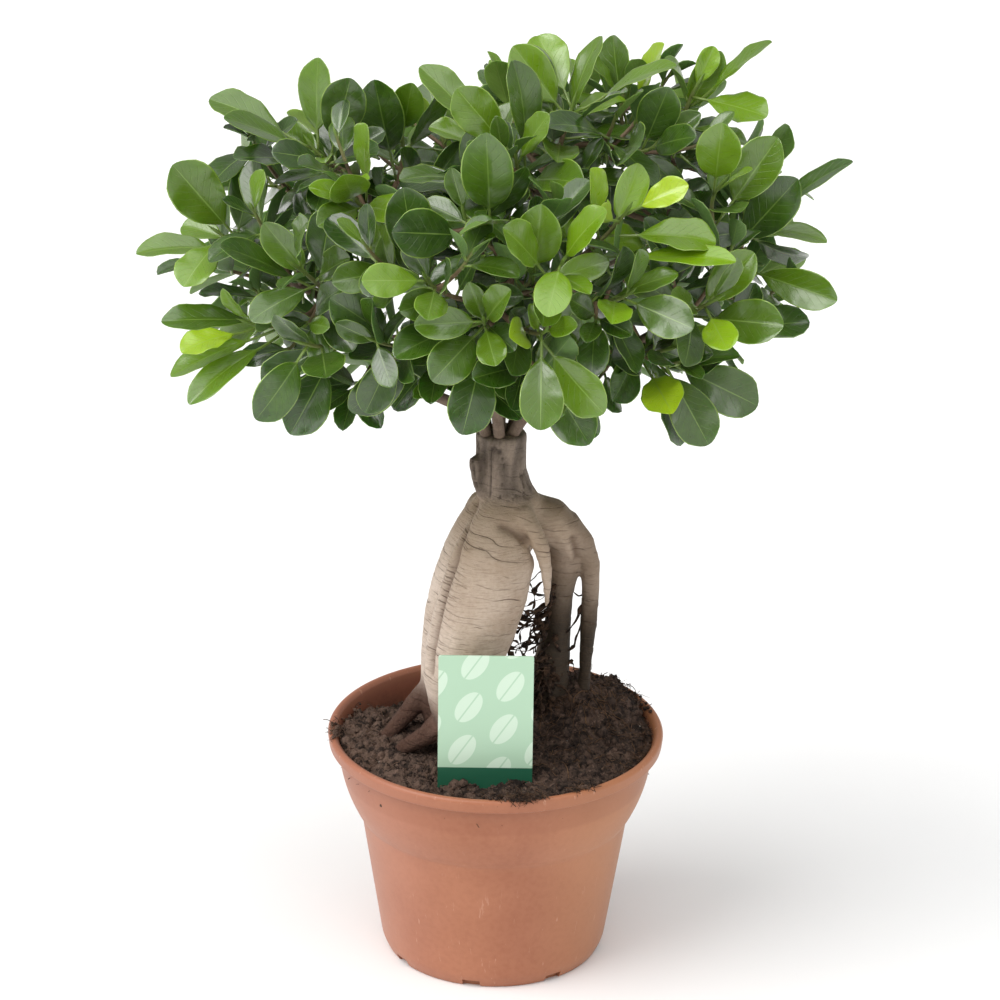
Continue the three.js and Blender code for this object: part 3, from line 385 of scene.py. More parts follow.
@dataclass
class Effects:
    """The shader groups that several finishes use."""

    mottle: NodeTree = field(default_factory=mottle_group)
    grime: NodeTree = field(default_factory=grime_group)


class Paint(Canvas):
    """A new material's node tree, with its Principled shader and object coordinates in millimetres."""

    def __init__(self, name: str, effects: Effects | None = None) -> None:
        """Makes the material.

        Args:
            name: The material's name.
            effects: The shared shader groups, where it uses them.
        """
        self.material = put(bpy.data.materials.new(name), use_nodes=True)
        super().__init__(self.material.node_tree)
        self.shader = self.tree.nodes["Principled BSDF"]
        self.effects = effects
        self.place = self.out(self.node("ShaderNodeTexCoord"), "Object") * (1 / MM)

    def attribute(self, name: str) -> Field:
        """A number that the mesh carries at its points."""
        return self.out(self.node("ShaderNodeAttribute", attribute_name=name), "Fac")

    def bump(self, height: Field, depth_mm: float) -> Field:
        """A normal from a height of 0 to 1, whose full rise is the depth."""
        return self.value("ShaderNodeBump", {"Height": height, "Distance": depth_mm * MM})

    def mottled(
        self, light: Colour, dark: Colour, patch: float, speck: float, place: Field | None = None
    ) -> Field:
        """The shared mottle between two colours.

        Args:
            light: The lighter colour.
            dark: The darker colour.
            patch: The patches' scale.
            speck: The specks' scale.
            place: The position in millimetres, where it isn't the material's own.

        Returns:
            The mottled colour.
        """
        inputs = {"Place": place or self.place, "Light": light, "Dark": dark, "Patch": patch, "Speck": speck}
        return self.value("ShaderNodeGroup", inputs, node_tree=self.effects.mottle)

    def grimed(self, clean_height: float, fade: float) -> Field:
        """The shared soil dust's mask, which fades out at a height."""
        inputs = {"Place": self.place, "Clean Height": clean_height, "Fade": fade}
        return self.value("ShaderNodeGroup", inputs, node_tree=self.effects.grime)

    def set(self, **values: Any) -> Material:
        """Feeds the shader's sockets, named as snake() does, and gives the finished material."""
        sockets = {snake(s.name): s for s in self.shader.inputs}
        for name, value in values.items():
            self.feed(sockets[name], value)
        return self.material


@dataclass(frozen=True)
class PotFinish:
    """Satin terracotta plastic, lightly mottled, scuffed and dusty, with painted shade on its inside wall
    and painted light on its left and right sides.
    """

    light: Colour = srgb(172, 112, 82)
    dark: Colour = srgb(154, 94, 65)
    scuff: Colour = srgb(198, 152, 128)
    # Painted shade on the pot's inside wall.
    inner_shade: Colour = srgb(150, 92, 72)
    # Painted light by side: the right side yellower, and a lighter, pinker painted sheen on the left side,
    # where the light comes from.
    right_light_tone: Colour = srgb(186, 130, 88)
    left_sheen: Colour = srgb(182, 124, 104)
    collar: Colour = srgb(146, 86, 60)
    dust: Colour = srgb(74, 50, 38)
    roughness: float = 0.42
    dust_height: float = 116.0
    wall_radius: float = 77.3
    wall_height: float = 98.0
    wall_flare: float = 0.132

    def material(self, effects: Effects) -> Material:
        """The pot's material."""
        paint = Paint("terracotta_plastic", effects)
        place = paint.place
        across, _, height = paint.parts(place)
        scratch = paint.noise(place * (0.35, 0.35, 0.05), 1.0, 3.0, 0.7)
        low = 1.0 - paint.step(height, 20.0, 100.0) * 0.8
        scuffs = paint.step(scratch, 0.64, 0.72) * low * 0.5
        wall = (height - self.wall_height) * self.wall_flare + self.wall_radius
        radius = paint.math("LENGTH", place * (1.0, 1.0, 0.0), kind="ShaderNodeVectorMath")
        within = paint.step(wall - radius, -0.3, 0.3)
        inside = within * paint.step(height, self.wall_height - 3.0, self.wall_height)
        dusty = paint.grimed(self.dust_height, 14.0) * inside
        worn = paint.step(height, 116.0, 119.0) * paint.step(scratch, 0.6, 0.7)
        grain = paint.noise(place, 1.6, 3.0)
        return paint.set(
            base_color=paint.layered(
                paint.mottled(self.light, self.dark, 0.02, 0.35),
                # painted light: yellower at the right, a lighter pinker painted sheen at the left
                (self.right_light_tone, paint.step(across, 10.0, 60.0) * 0.5),
                (self.left_sheen, paint.step(across * -1.0, 10.0, 60.0) * 0.4),
                (self.collar, paint.step(height, 96.0, 99.0) * 0.3),
                (self.scuff, paint.math("MAXIMUM", scuffs, worn * 0.7)),
                # painted shade on the inside wall
                (self.inner_shade, inside * 0.75),
                (self.dust, dusty * 0.4),
            ),
            roughness=self.roughness + (grain - 0.5) * 0.12 + scuffs * 0.2 + dusty * 0.25,
            normal=paint.bump(grain, 0.05),
            specular_ior_level=0.45,
        )


@dataclass(frozen=True)
class PeatFinish:
    """Dark fibrous peat, with painted light on its left side and near-black patches of painted shade between
    the clods.
    """

    name: str
    light: Colour
    dark: Colour
    # A lighter brown for real flecks, and for painted light on the left side.
    dry_and_lit: Colour = srgb(140, 114, 100)
    # Near-black, for painted shade between the clods.
    hollow_shade: Colour = srgb(20, 15, 13)
    roughness: float = 0.92

    def material(self, effects: Effects) -> Material:
        """The material of the soil, of a crumb or of a fibre."""
        paint = Paint(self.name, effects)
        place = paint.place
        ragged = (paint.noise(place, 0.09, 3.0) - 0.5) * 90.0
        # painted light: the left side lighter, as the light falls from the left
        lit_left = paint.step(paint.parts(place)[0] * -1.0 + ragged, 22.0, 52.0)
        flecks = paint.step(paint.noise(place, 0.5, 3.0, 0.6), 0.56, 0.68)
        # painted shade: near-black patches, as in the dips between clods
        hollow_shading = 1.0 - paint.step(paint.noise(place, 0.24, 4.0, 0.65), 0.4, 0.52)
        return paint.set(
            base_color=paint.layered(
                paint.mottled(self.light, self.dark, 0.11, 0.7),
                (self.dry_and_lit, lit_left * 0.36),
                (self.dry_and_lit, flecks * 0.4),
                (self.hollow_shade, hollow_shading * 0.78),
            ),
            roughness=self.roughness,
            normal=paint.bump(paint.noise(place, 1.3, 5.0, 0.7), 0.9),
            specular_ior_level=0.25,
        )


@dataclass(frozen=True)
class RootFinish:
    """Grey-tan root bark with creases darkened by painted shade, painted light on its left flank, legs
    darkened by painted shade and near-black at their foot, and a cracked dark stump with painted shade in
    its cracks.
    """

    pale: Colour = srgb(212, 194, 178)
    dull: Colour = srgb(174, 153, 134)
    upper: Colour = srgb(152, 130, 106)
    # Painted shade in the creases, the ladder lines and the folds' grooves.
    crease: Colour = srgb(96, 74, 58)
    # Painted shade on the legs, and the colour of real lengthwise streaks.
    shade: Colour = srgb(96, 76, 56)
    # Near-black towards the legs' foot.
    near_black: Colour = srgb(40, 33, 24)
    foot: Colour = srgb(106, 70, 55)
    stump_light: Colour = srgb(148, 131, 116)
    stump_dark: Colour = srgb(98, 85, 74)
    # Painted shade in the stump's cracks.
    crack_shade: Colour = srgb(46, 36, 30)
    soil: Colour = srgb(80, 54, 42)
    # Painted light on the left flank.
    lit_flank: Colour = srgb(232, 218, 208)
    stump_from: float = 250.0

    @staticmethod
    def legs(paint: Paint, ragged: Field) -> tuple[Field, Field]:
        """Where the two thin legs at the right are.

        Args:
            paint: The material.
            ragged: Noise that breaks up the masks' edges.

        Returns:
            A mask of the legs, and one of their dark lower part.
        """
        x, y, z = paint.parts(paint.place)
        behind = paint.step(y + ragged * 0.2, -9.0, -1.0)
        legs = paint.step(x + ragged * 0.35, 16.0, 26.0) * behind
        far = paint.step(x, 38.0, 42.0)
        return legs, 1.0 - paint.step(z + ragged * 0.9 + far * 9.0, 172.0, 214.0)

    def material(self, effects: Effects) -> Material:
        """The rootstock's material."""
        paint = Paint("root_bark", effects)
        place = paint.place
        x, _, z = paint.parts(place)
        ragged = (paint.noise(place, 0.06, 3.0) - 0.5) * 26.0
        legs, low = self.legs(paint, ragged)
        # Painted light and shade by side: the left flank lighter and the middle browner, as the light falls
        # from the left.
        away_from_light = paint.step(x + ragged * 0.4, -38.0, -12.0)
        fine = paint.noise(place * (0.16, 0.16, 1.9), 1.0, 3.0, 0.6)
        streaks = paint.step(fine, 0.48, 0.72)
        long = paint.creases(place, 7.0, 0.048, 7.0)
        short = paint.creases(place, 2.9, 0.1, 31.0)
        ladder = paint.stripe((z + x * 0.3) / 3.3 + ragged * 0.05, 0.14) * paint.attribute("ladder")
        ladder = ladder * paint.step(paint.noise(place, 0.11, 3.0), 0.4, 0.62)
        lined = paint.math("MAXIMUM", paint.math("MAXIMUM", long, short * 0.45), ladder)
        foot = 1.0 - paint.step(z + ragged * 0.6, 134.0, 158.0)
        buried = paint.step(x * -1.0 + ragged * 0.4, 26.0, 36.0)
        buried = buried * (1.0 - paint.step(z + ragged * 0.4, 140.0, 156.0))
        dirt = paint.math("MAXIMUM", paint.grimed(134.0, 18.0), buried * 0.9)
        stump = paint.mottled(self.stump_light, self.stump_dark, 0.13, 0.9, place * (1.0, 1.0, 0.5))
        stumpward = paint.step(z + ragged * 0.25, self.stump_from - 5.0, self.stump_from + 4.0)
        height = fine * 0.5 + paint.noise(place, 0.9, 4.0, 0.6) * 0.6 - lined * 0.9
        return paint.set(
            base_color=paint.layered(
                paint.mottled(self.pale, self.dull, 0.05, 0.5),
                (self.upper, paint.step(z + ragged, 196.0, 246.0) * 0.6),
                # painted shade: the middle browner; painted light: the left flank lighter
                (self.upper, away_from_light * 0.3),
                (self.lit_flank, (1.0 - away_from_light) * 0.3),
                # painted shade on the legs, near-black towards their foot
                (self.shade, legs * (0.5 + low * 0.45)),
                (self.near_black, legs * low * 0.85),
                # real lengthwise streaks, in the legs' dark brown
                (self.shade, streaks * 0.3),
                # painted shade in the creases and the folds' grooves
                (self.crease, lined * 0.66),
                (self.crease, paint.attribute("groove") * 0.6),
                (self.foot, foot * (1.0 - legs) * 0.88),
                (self.soil, dirt * 0.85),
                # the stump, with painted shade in its cracks
                (paint.tint(stump, self.crack_shade, paint.attribute("crack")), stumpward),
            ),
            roughness=0.7 + streaks * 0.1 + dirt * 0.15,
            normal=paint.bump(height + paint.noise(place, 0.5, 4.0, 0.7) * dirt * 4.0, 0.6),
            specular_ior_level=0.35,
        )


@dataclass(frozen=True)
class TwigFinish:
    """Dull branch bark, or a green young stem, with lengthwise streaks and pale pores."""

    name: str
    young: Colour
    old: Colour
    pore: Colour
    roughness: float = 0.7

    def material(self, effects: Effects) -> Material:
        """The material of branches or stems. It turns from young to old along them."""
        paint = Paint(self.name, effects)
        place = paint.place
        turn = paint.attribute("woody") + (paint.noise(place, 0.15) - 0.5) * 0.5
        turn = paint.step(turn, 0.15, 0.75)
        bark = paint.tint(paint.mottled(self.pore, self.old, 0.3, 1.2), self.old, 0.55)
        grain = paint.noise(place * (1.0, 1.0, 0.4), 1.1, 4.0, 0.6)
        return paint.set(
            base_color=paint.tint(self.young, bark, turn),
            roughness=self.roughness - (1.0 - turn) * 0.2,
            normal=paint.bump(grain, 0.35),
        )


@dataclass(frozen=True)
class LeafFinish:
    """Thick glossy leaf: fine pale midrib, faint side veins, pale edge and matt paler underside."""

    mature: Colour = srgb(35, 60, 14)
    mature_light: Colour = srgb(72, 105, 22)
    young: Colour = srgb(124, 162, 16)
    fresh: Colour = srgb(190, 212, 40)
    under: Colour = srgb(104, 136, 74)
    rib: Colour = srgb(142, 172, 84)
    edge: Colour = srgb(158, 188, 84)
    stalk: Colour = srgb(118, 142, 62)
    gloss: float = 0.3
    matt: float = 0.5
    vein_pairs: float = 8.0

    def material(self, effects: Effects) -> Material:
        """The leaf material. It reads where a point is on its leaf, and the leaf's youth."""
        paint = Paint("ficus_leaf", effects)
        place = paint.place
        along, across, youth, chance, face = (
            paint.attribute(name) for name in ("along", "across", "youth", "chance", "face")
        )
        aside = abs(across)
        lower = 1.0 - paint.step(face, -0.5, -0.05)
        veins = self.vein_pairs * along - aside * 2.4 + paint.noise(place, 0.06) * 0.9
        line = abs(paint.math("FRACT", veins) - 0.5) * 2.0
        side_vein = paint.step(line, 0.84, 0.98) * paint.step(aside, 0.05, 0.2)
        side_vein = side_vein * (1.0 - paint.step(aside, 0.6, 0.9))
        rib = 1.0 - paint.step(aside / (0.06 - along * 0.045), 0.4, 1.0)
        upper = paint.layered(
            paint.mottled(self.mature_light, self.mature, 0.03, 0.35, place + chance * 90.0),
            (self.mature, chance * 0.55),
            (self.young, paint.step(youth, 0.2, 0.85)),
            (self.fresh, paint.step(youth, 0.82, 1.15) * 0.8),
            (self.rib, side_vein * 0.045 + rib * (0.3 + chance * 0.3)),
            (self.edge, paint.step(aside, 0.93, 0.98) * 0.65),
        )
        below = paint.layered(
            self.under,
            (self.fresh, paint.step(youth, 0.3, 1.0) * 0.6),
            (upper, 0.3),
            (self.rib, side_vein * 0.2 + rib * 0.5),
        )
        grain = paint.noise(place, 0.5, 3.0)
        return paint.set(
            base_color=paint.layered(
                upper, (below, lower), (self.stalk, 1.0 - paint.step(along, -0.05, 0.08))
            ),
            roughness=paint.between(self.gloss, self.matt, lower) + (grain - 0.5) * 0.14,
            coat_weight=(1.0 - lower) * 0.9,
            coat_roughness=0.2,
            normal=paint.bump(side_vein * -0.3 + grain * 0.45, 0.3),
            specular_ior_level=0.5,
            subsurface_weight=0.07,
            subsurface_scale=0.002,
            subsurface_radius=(0.3, 1.0, 0.1),
        )


@dataclass(frozen=True)
class CardFinish:
    """Coated card in pale mint, with plain sprigs of oval leaves and a dark green foot."""

    ground: Colour = srgb(174, 206, 178)
    sprig: Colour = srgb(208, 228, 208)
    foot: Colour = srgb(34, 92, 68)
    soil: Colour = srgb(62, 44, 34)
    foot_height: float = 125.0
    middle: Pair = (-5.0, 155.0)
    lean: float = -34.0
    spacing: float = 21.0

    def material(self, effects: Effects) -> Material:
        """The card's material."""
        paint = Paint("printed_card", effects)
        inputs = {
            "Vector": paint.place,
            "Location": (-self.middle[0], 0.0, -self.middle[1]),
            "Rotation": (0.0, math.radians(self.lean), 0.0),
        }
        turned = paint.value("ShaderNodeMapping", inputs, vector_type="POINT")
        u, _, v = paint.parts(turned * (1.0 / self.spacing))
        shifted = u + paint.math("FLOOR", v) * 0.5
        cell_u, cell_v = (paint.math("FRACT", value) - 0.5 for value in (shifted, v))
        oval = (cell_u * cell_u) / 0.075 + (cell_v * cell_v) / 0.2
        leaf = 1.0 - paint.step(oval, 0.9, 1.0)
        rib = (1.0 - paint.step(abs(cell_u), 0.012, 0.024)) * leaf
        printed = paint.layered(self.ground, (self.sprig, leaf * 0.85), (self.ground, rib))
        z = paint.parts(paint.place)[2]
        above = paint.step(z, self.foot_height - 0.15, self.foot_height + 0.15)
        return paint.set(
            base_color=paint.layered(
                self.foot, (printed, above), (self.soil, paint.grimed(112.0, 8.0) * 0.7)
            ),
            roughness=0.34 + paint.noise(paint.place, 0.4) * 0.08,
            coat_weight=0.2,
        )


def plain_finish(name: str, colour: Colour, roughness: float) -> Material:
    """A pale even surface with a trace of grain, for the floor."""
    paint = Paint(name)
    dim = tuple(c * 0.985 for c in colour)
    return paint.set(base_color=paint.tint(colour, dim, paint.noise(paint.place, 0.02)), roughness=roughness)


class Growth(Recipe):
    """A Geometry Nodes tree. Its first input and its output are the geometry."""

    def __init__(self, name: str, inputs: dict[Kind, Sequence[str]]) -> None:
        """Makes the tree with its named inputs."""
        sockets = {Kind.GEOMETRY: ["Geometry"], **inputs}
        super().__init__(name, "GeometryNodeTree", sockets, "Geometry", Kind.GEOMETRY)

    def carried(self, name: str, data_type: str = "FLOAT") -> Field:
        """An attribute of the geometry by name."""
        return self.value("GeometryNodeInputNamedAttribute", {"Name": name}, data_type=data_type)

    def keep(self, geometry: Field, name: str, value: Value) -> Field:
        """Stores a number at the geometry's points."""
        inputs = {"Geometry": geometry, "Name": name, "Value": value}
        return self.value("GeometryNodeStoreNamedAttribute", inputs, data_type="FLOAT", domain="POINT")

    def place(self) -> Field:
        """The position of each point."""
        return self.value("GeometryNodeInputPosition")

    def normal(self) -> Field:
        """The normal at each point."""
        return self.value("GeometryNodeInputNormal")

    def shown(self, name: str) -> Field:
        """The geometry of an object that is given by the name of an input."""
        return self.out(self.node("GeometryNodeObjectInfo", {"Object": self[name]}), "Geometry")

    def real(self, geometry: Field) -> Field:
        """Geometry with its instances made real."""
        return self.value("GeometryNodeRealizeInstances", {"Geometry": geometry})

    def moved(self, geometry: Field, **inputs: Value) -> Field:
        """Geometry with its points moved. The inputs are selection, position or offset."""
        named = {name.capitalize(): value for name, value in inputs.items()}
        return self.value("GeometryNodeSetPosition", {"Geometry": geometry, **named})

    def joined(self, *parts: Field) -> Field:
        """Several geometries as one."""
        node = self.node("GeometryNodeJoinGeometry")
        for geometry in parts:
            self.feed(node.inputs[0], geometry)
        return self.out(node)

    def tube(self, lines: Field, sides: Value, girth: Value) -> Field:
        """Smooth capped tubes along mesh lines.

        Args:
            lines: Mesh edges that the tubes follow.
            sides: Points round a tube.
            girth: Radius at each point.

        Returns:
            The tubes.
        """
        curve = self.value("GeometryNodeMeshToCurve", {"Mesh": lines})
        curve = self.value("GeometryNodeCurveSplineType", {"Curve": curve}, spline_type="CATMULL_ROM")
        node = self.node("GeometryNodeSetSplineResolution", {"Resolution": STEPS_A_HOP})
        self.feed(node.inputs[0], curve)
        circle = self.value("GeometryNodeCurvePrimitiveCircle", {"Resolution": sides, "Radius": 1.0})
        inputs = {"Curve": self.out(node), "Profile Curve": circle, "Scale": girth, "Fill Caps": True}
        return self.value("GeometryNodeCurveToMesh", inputs)

    def finished(self, geometry: Field, material: Field, *coats: tuple[Field, Field]) -> NodeTree:
        """Ends the tree in smooth shading, Realize Instances and Set Material.

        Args:
            geometry: What the tree has made.
            material: Its material.
            *coats: Selection and material of each other coat.

        Returns:
            The tree.
        """
        geometry = self.real(self.value("GeometryNodeSetShadeSmooth", {"Geometry": geometry}))
        geometry = self.value("GeometryNodeSetMaterial", {"Geometry": geometry, "Material": material})
        for selection, coat in coats:
            inputs = {"Geometry": geometry, "Selection": selection, "Material": coat}
            geometry = self.value("GeometryNodeSetMaterial", inputs)
        return self.give(geometry)


def object_of(name: str, data: Any) -> Object:
    """A new object at the origin that shows a mesh, a light or a camera."""
    made = bpy.data.objects.new(name, data)
    bpy.context.scene.collection.objects.link(made)
    return made


def mesh_of(
    name: str,
    points: Sequence[Sequence[float]],
    edges: Sequence[Sequence[int]] = (),
    faces: Sequence[Sequence[int]] = (),
    **carried: Sequence[Any],
) -> Mesh:
    """A mesh with attributes at its points.

    Args:
        name: The mesh's name.
        points: Positions in metres.
        edges: Pairs of point numbers.
        faces: Lists of point numbers, anticlockwise from outside.
        **carried: A number or a vector a point, by attribute name.

    Returns:
        The mesh.
    """
    mesh = bpy.data.meshes.new(name)
    mesh.from_pydata([tuple(p) for p in points], edges, faces)
    for label, values in carried.items():
        if is_vector(values[0]):
            flat = [number for vector in values for number in vector]
            mesh.attributes.new(label, "FLOAT_VECTOR", "POINT").data.foreach_set("vector", flat)
        else:
            mesh.attributes.new(label, "FLOAT", "POINT").data.foreach_set("value", values)
    mesh.update()
    return mesh


def kept_mesh(name: str, form: BMesh) -> Mesh:
    """A finished bmesh as a plain mesh."""
    mesh = bpy.data.meshes.new(name)
    form.to_mesh(mesh)
    form.free()
    return mesh


def closed_faces(
    sides: int, rings: int, start: int, end: int, flipped: bool = False
) -> list[tuple[int, ...]]:
    """The faces of a closed body of rings between two poles, sector by sector.

    Args:
        sides: Points round a ring.
        rings: Number of rings.
        start: Number of the first ring's first point. The first pole is point 0.
        end: Number of the last pole.
        flipped: Whether the faces go round the other way.

    Returns:
        Lists of point numbers.
    """
    faces = []
    for k in range(sides):
        aside = (k + 1) % sides
        lows = [start + i * sides for i in range(rings)]
        faces.append((0, start + aside, start + k))
        faces += [(low + k, low + aside, low + sides + aside, low + sides + k) for low in lows[:-1]]
        faces.append((end, lows[-1] + k, lows[-1] + aside))
    return [(face[0], *reversed(face[1:])) for face in faces] if flipped else faces


def polar(turn: float, radius: float = 1.0, height: float = 0.0) -> Vector:
    """A place at an angle and a distance from the axis."""
    return Vector((radius * math.cos(turn), radius * math.sin(turn), height))


def bent(start: Vector, knee: Vector, end: Vector, share: float) -> Vector:
    """A place on the curve that leaves its start and reaches its end in the direction of its knee."""
    return start.lerp(knee, share).lerp(knee.lerp(end, share), share)


def jitter(draw: random.Random, spread: float) -> Vector:
    """A small random move."""
    return Vector([draw.gauss(0.0, spread) for _ in range(3)])


def surface_of(piece: Object) -> BVHTree:
    """A piece's faces, ready for finding places on them."""
    return BVHTree.FromObject(piece, bpy.context.evaluated_depsgraph_get())


def grow(piece: Object, tree: NodeTree | None = None, **inputs: Any) -> Object:
    """Runs the piece's modifiers and a Geometry Nodes tree, and keeps the result as its plain mesh.

    Args:
        piece: The object whose mesh the tree starts from.
        tree: The tree, or None to apply the other modifiers alone.
        **inputs: Values by input name, in small letters with underscores.

    Returns:
        The piece with its new mesh and no modifiers.
    """
    if tree is not None:
        modifier = put(piece.modifiers.new(tree.name, "NODES"), node_group=tree)
        for socket in tree.interface.items_tree:
            if socket.in_out == "INPUT" and snake(socket.name) in inputs:
                modifier[socket.identifier] = inputs[snake(socket.name)]
    bpy.context.view_layer.update()
    evaluated = piece.evaluated_get(bpy.context.evaluated_depsgraph_get())
    mesh = bpy.data.meshes.new_from_object(evaluated)
    piece.modifiers.clear()
    piece.data = put(mesh, name=piece.name)
    return piece


def coat(piece: Object, material: Material) -> None:
    """Gives a piece one material all over."""
    piece.data.materials.clear()
    piece.data.materials.append(material)


def merged_copy(node: Object) -> BMesh:
    """A copy of a CAD node's mesh with its loose triangles joined."""
    copy = bmesh.new()
    copy.from_mesh(node.data)
    bmesh.ops.remove_doubles(copy, verts=copy.verts, dist=1e-6)
    return copy


def settle(piece: Object, slot: Slot, *nodes: str) -> Object:
    """Attaches a finished piece to the body, hides the CAD nodes that it replaces and logs its slot.

    Args:
        piece: The finished piece.
        slot: The record's slot that its finish comes from.
        *nodes: The CAD nodes that it replaces.

    Returns:
        The piece.
    """
    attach(piece, BODY)
    if nodes:
        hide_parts(*nodes)
    faces = sum(len(p.vertices) - 2 for p in piece.data.polygons)
    log.info("%s: %d triangles, slot %s, replaces %s", piece.name, faces, slot.value, nodes or "nothing")
    return piece


def tube_levels(
    start: Sequence[BMVert], spared: set[int] = frozenset(), most: int | None = None
) -> list[list[BMVert]]:
    """The rings of a tube's mesh, found by walking from one end.

    Args:
        start: The first ring, or the point that the tube ends in.
        spared: Indexes of vertices that aren't part of the tube.
        most: How many rings are wanted, where it isn't all.

    Returns:
        The rings in order.
    """
    seen = set(spared) | {v.index for v in start}
    levels = [list(start)]
    while levels[-1] and len(levels) != most:
        near = {e.other_vert(v) for v in levels[-1] for e in v.link_edges}
        following = {v for v in near if v.index not in seen}
        seen |= {v.index for v in following}
        levels.append(sorted(following, key=lambda v: v.index))
    return [ring for ring in levels if ring]


def middle_of(vertices: Iterable[BMVert]) -> Vector:
    """The mean place of some vertices."""
    places = [v.co for v in vertices]
    return sum(places, Vector()) / len(places)


def centre_line(rings: Sequence[Sequence[BMVert]]) -> tuple[list[Vector], list[float]]:
    """The middle and the mean radius of each ring of a tube."""
    middles = [middle_of(ring) for ring in rings]
    radii = [sum((v.co - m).length for v in ring) / len(ring) for ring, m in zip(rings, middles)]
    return middles, radii


@dataclass
class NurseryPot:
    """Thin plastic pot: tapered body, ledge, flared collar, rolled lip and drainage notches."""

    node: str = "pot"
    sides: int = 224
    outside: Rows = (
        (54.0, 0.0, 1.0),
        (57.0, 6.0, 3.0),
        (67.8, 74.0, 1.2),
        (70.5, 78.0, 2.5),
        (74.7, 87.0, 6.0),
        (78.1, 98.0, 6.0),
        (80.0, 112.7, 0.5),
        (84.3, 113.0, 0.8),
        (85.0, 118.6, 1.2),
        (83.8, 120.0, 0.9),
        (82.0, 120.0, 0.9),
        (80.4, 118.4, 0.8),
        (78.4, 112.0, 3.0),
    )
    inside: Rows = (
        (76.6, 98.0, 5.0),
        (73.2, 87.4, 5.0),
        (69.1, 78.6, 2.0),
        (66.3, 74.0, 2.0),
        (55.6, 7.0, 2.0),
        (52.0, 2.0, 1.0),
    )
    notches: int = 8
    notch_size: tuple[float, float, float] = (9.0, 7.0, 8.0)
    notch_radius: float = 55.5
    notch_turn: float = 0.75
    sharp: float = 40.0

    def profile(self) -> list[Pair]:
        """The wall's section from the base's centre, up outside and down inside, in millimetres."""
        corners = [*self.outside, *self.inside]
        rounded = [(0.0, 0.0)]
        for i, (radius, height, round_mm) in enumerate(corners):
            here = Vector((radius, height))
            before = Vector(corners[i - 1][:2]) if i else Vector((0.0, 0.0))
            after = Vector(corners[i + 1][:2]) if i + 1 < len(corners) else Vector((0.0, 2.0))
            reach = min(round_mm, (before - here).length / 2, (after - here).length / 2)
            first = here + (before - here).normalized() * reach
            last = here + (after - here).normalized() * reach
            rounded += [tuple(bent(first, here, last, share)) for share in (0.0, 0.25, 0.5, 0.75, 1.0)]
        return [*rounded, (0.0, 2.0)]

    def shell(self) -> Mesh:
        """The pot turned from its section, closed on its axis."""
        rows = self.profile()[1:-1]
        points = [(0.0, 0.0, 0.0), (0.0, 0.0, 2.0 * MM)]
        for radius, height in rows:
            turns = (math.tau * k / self.sides for k in range(self.sides))
            points += [polar(turn, radius * MM, height * MM) for turn in turns]
        return mesh_of("pot_shell", points, faces=closed_faces(self.sides, len(rows), 2, 1))

    def notch_cutter(self) -> Object:
        """Boxes that cut the drainage notches."""
        boxes = bmesh.new()
        for i in range(self.notches):
            turn = math.tau * (i + self.notch_turn) / self.notches
            place = Matrix.Rotation(turn, 4, "Z") @ Matrix.Translation((self.notch_radius * MM, 0.0, 0.0))
            width, depth, height = self.notch_size
            size = Matrix.Diagonal((depth * MM, width * MM, height * MM, 1.0))
            bmesh.ops.create_cube(boxes, size=1.0, matrix=place @ size)
        return object_of("notch_cutter", kept_mesh("notch_cutter", boxes))

    def build(self, material: Material) -> None:
        """Makes the pot and settles it in place of its CAD node.

        Args:
            material: The plastic.
        """
        pot = object_of("nursery_pot", self.shell())
        cutter = self.notch_cutter()
        cut = pot.modifiers.new("notches", "BOOLEAN")
        put(cut, operation="DIFFERENCE", solver="EXACT", object=cutter)
        grow(pot)
        bpy.data.objects.remove(cutter)
        coat(pot, material)
        pot.data.shade_smooth()
        pot.data.set_sharp_from_angle(angle=math.radians(self.sharp))
        settle(pot, Slot.POT, self.node)


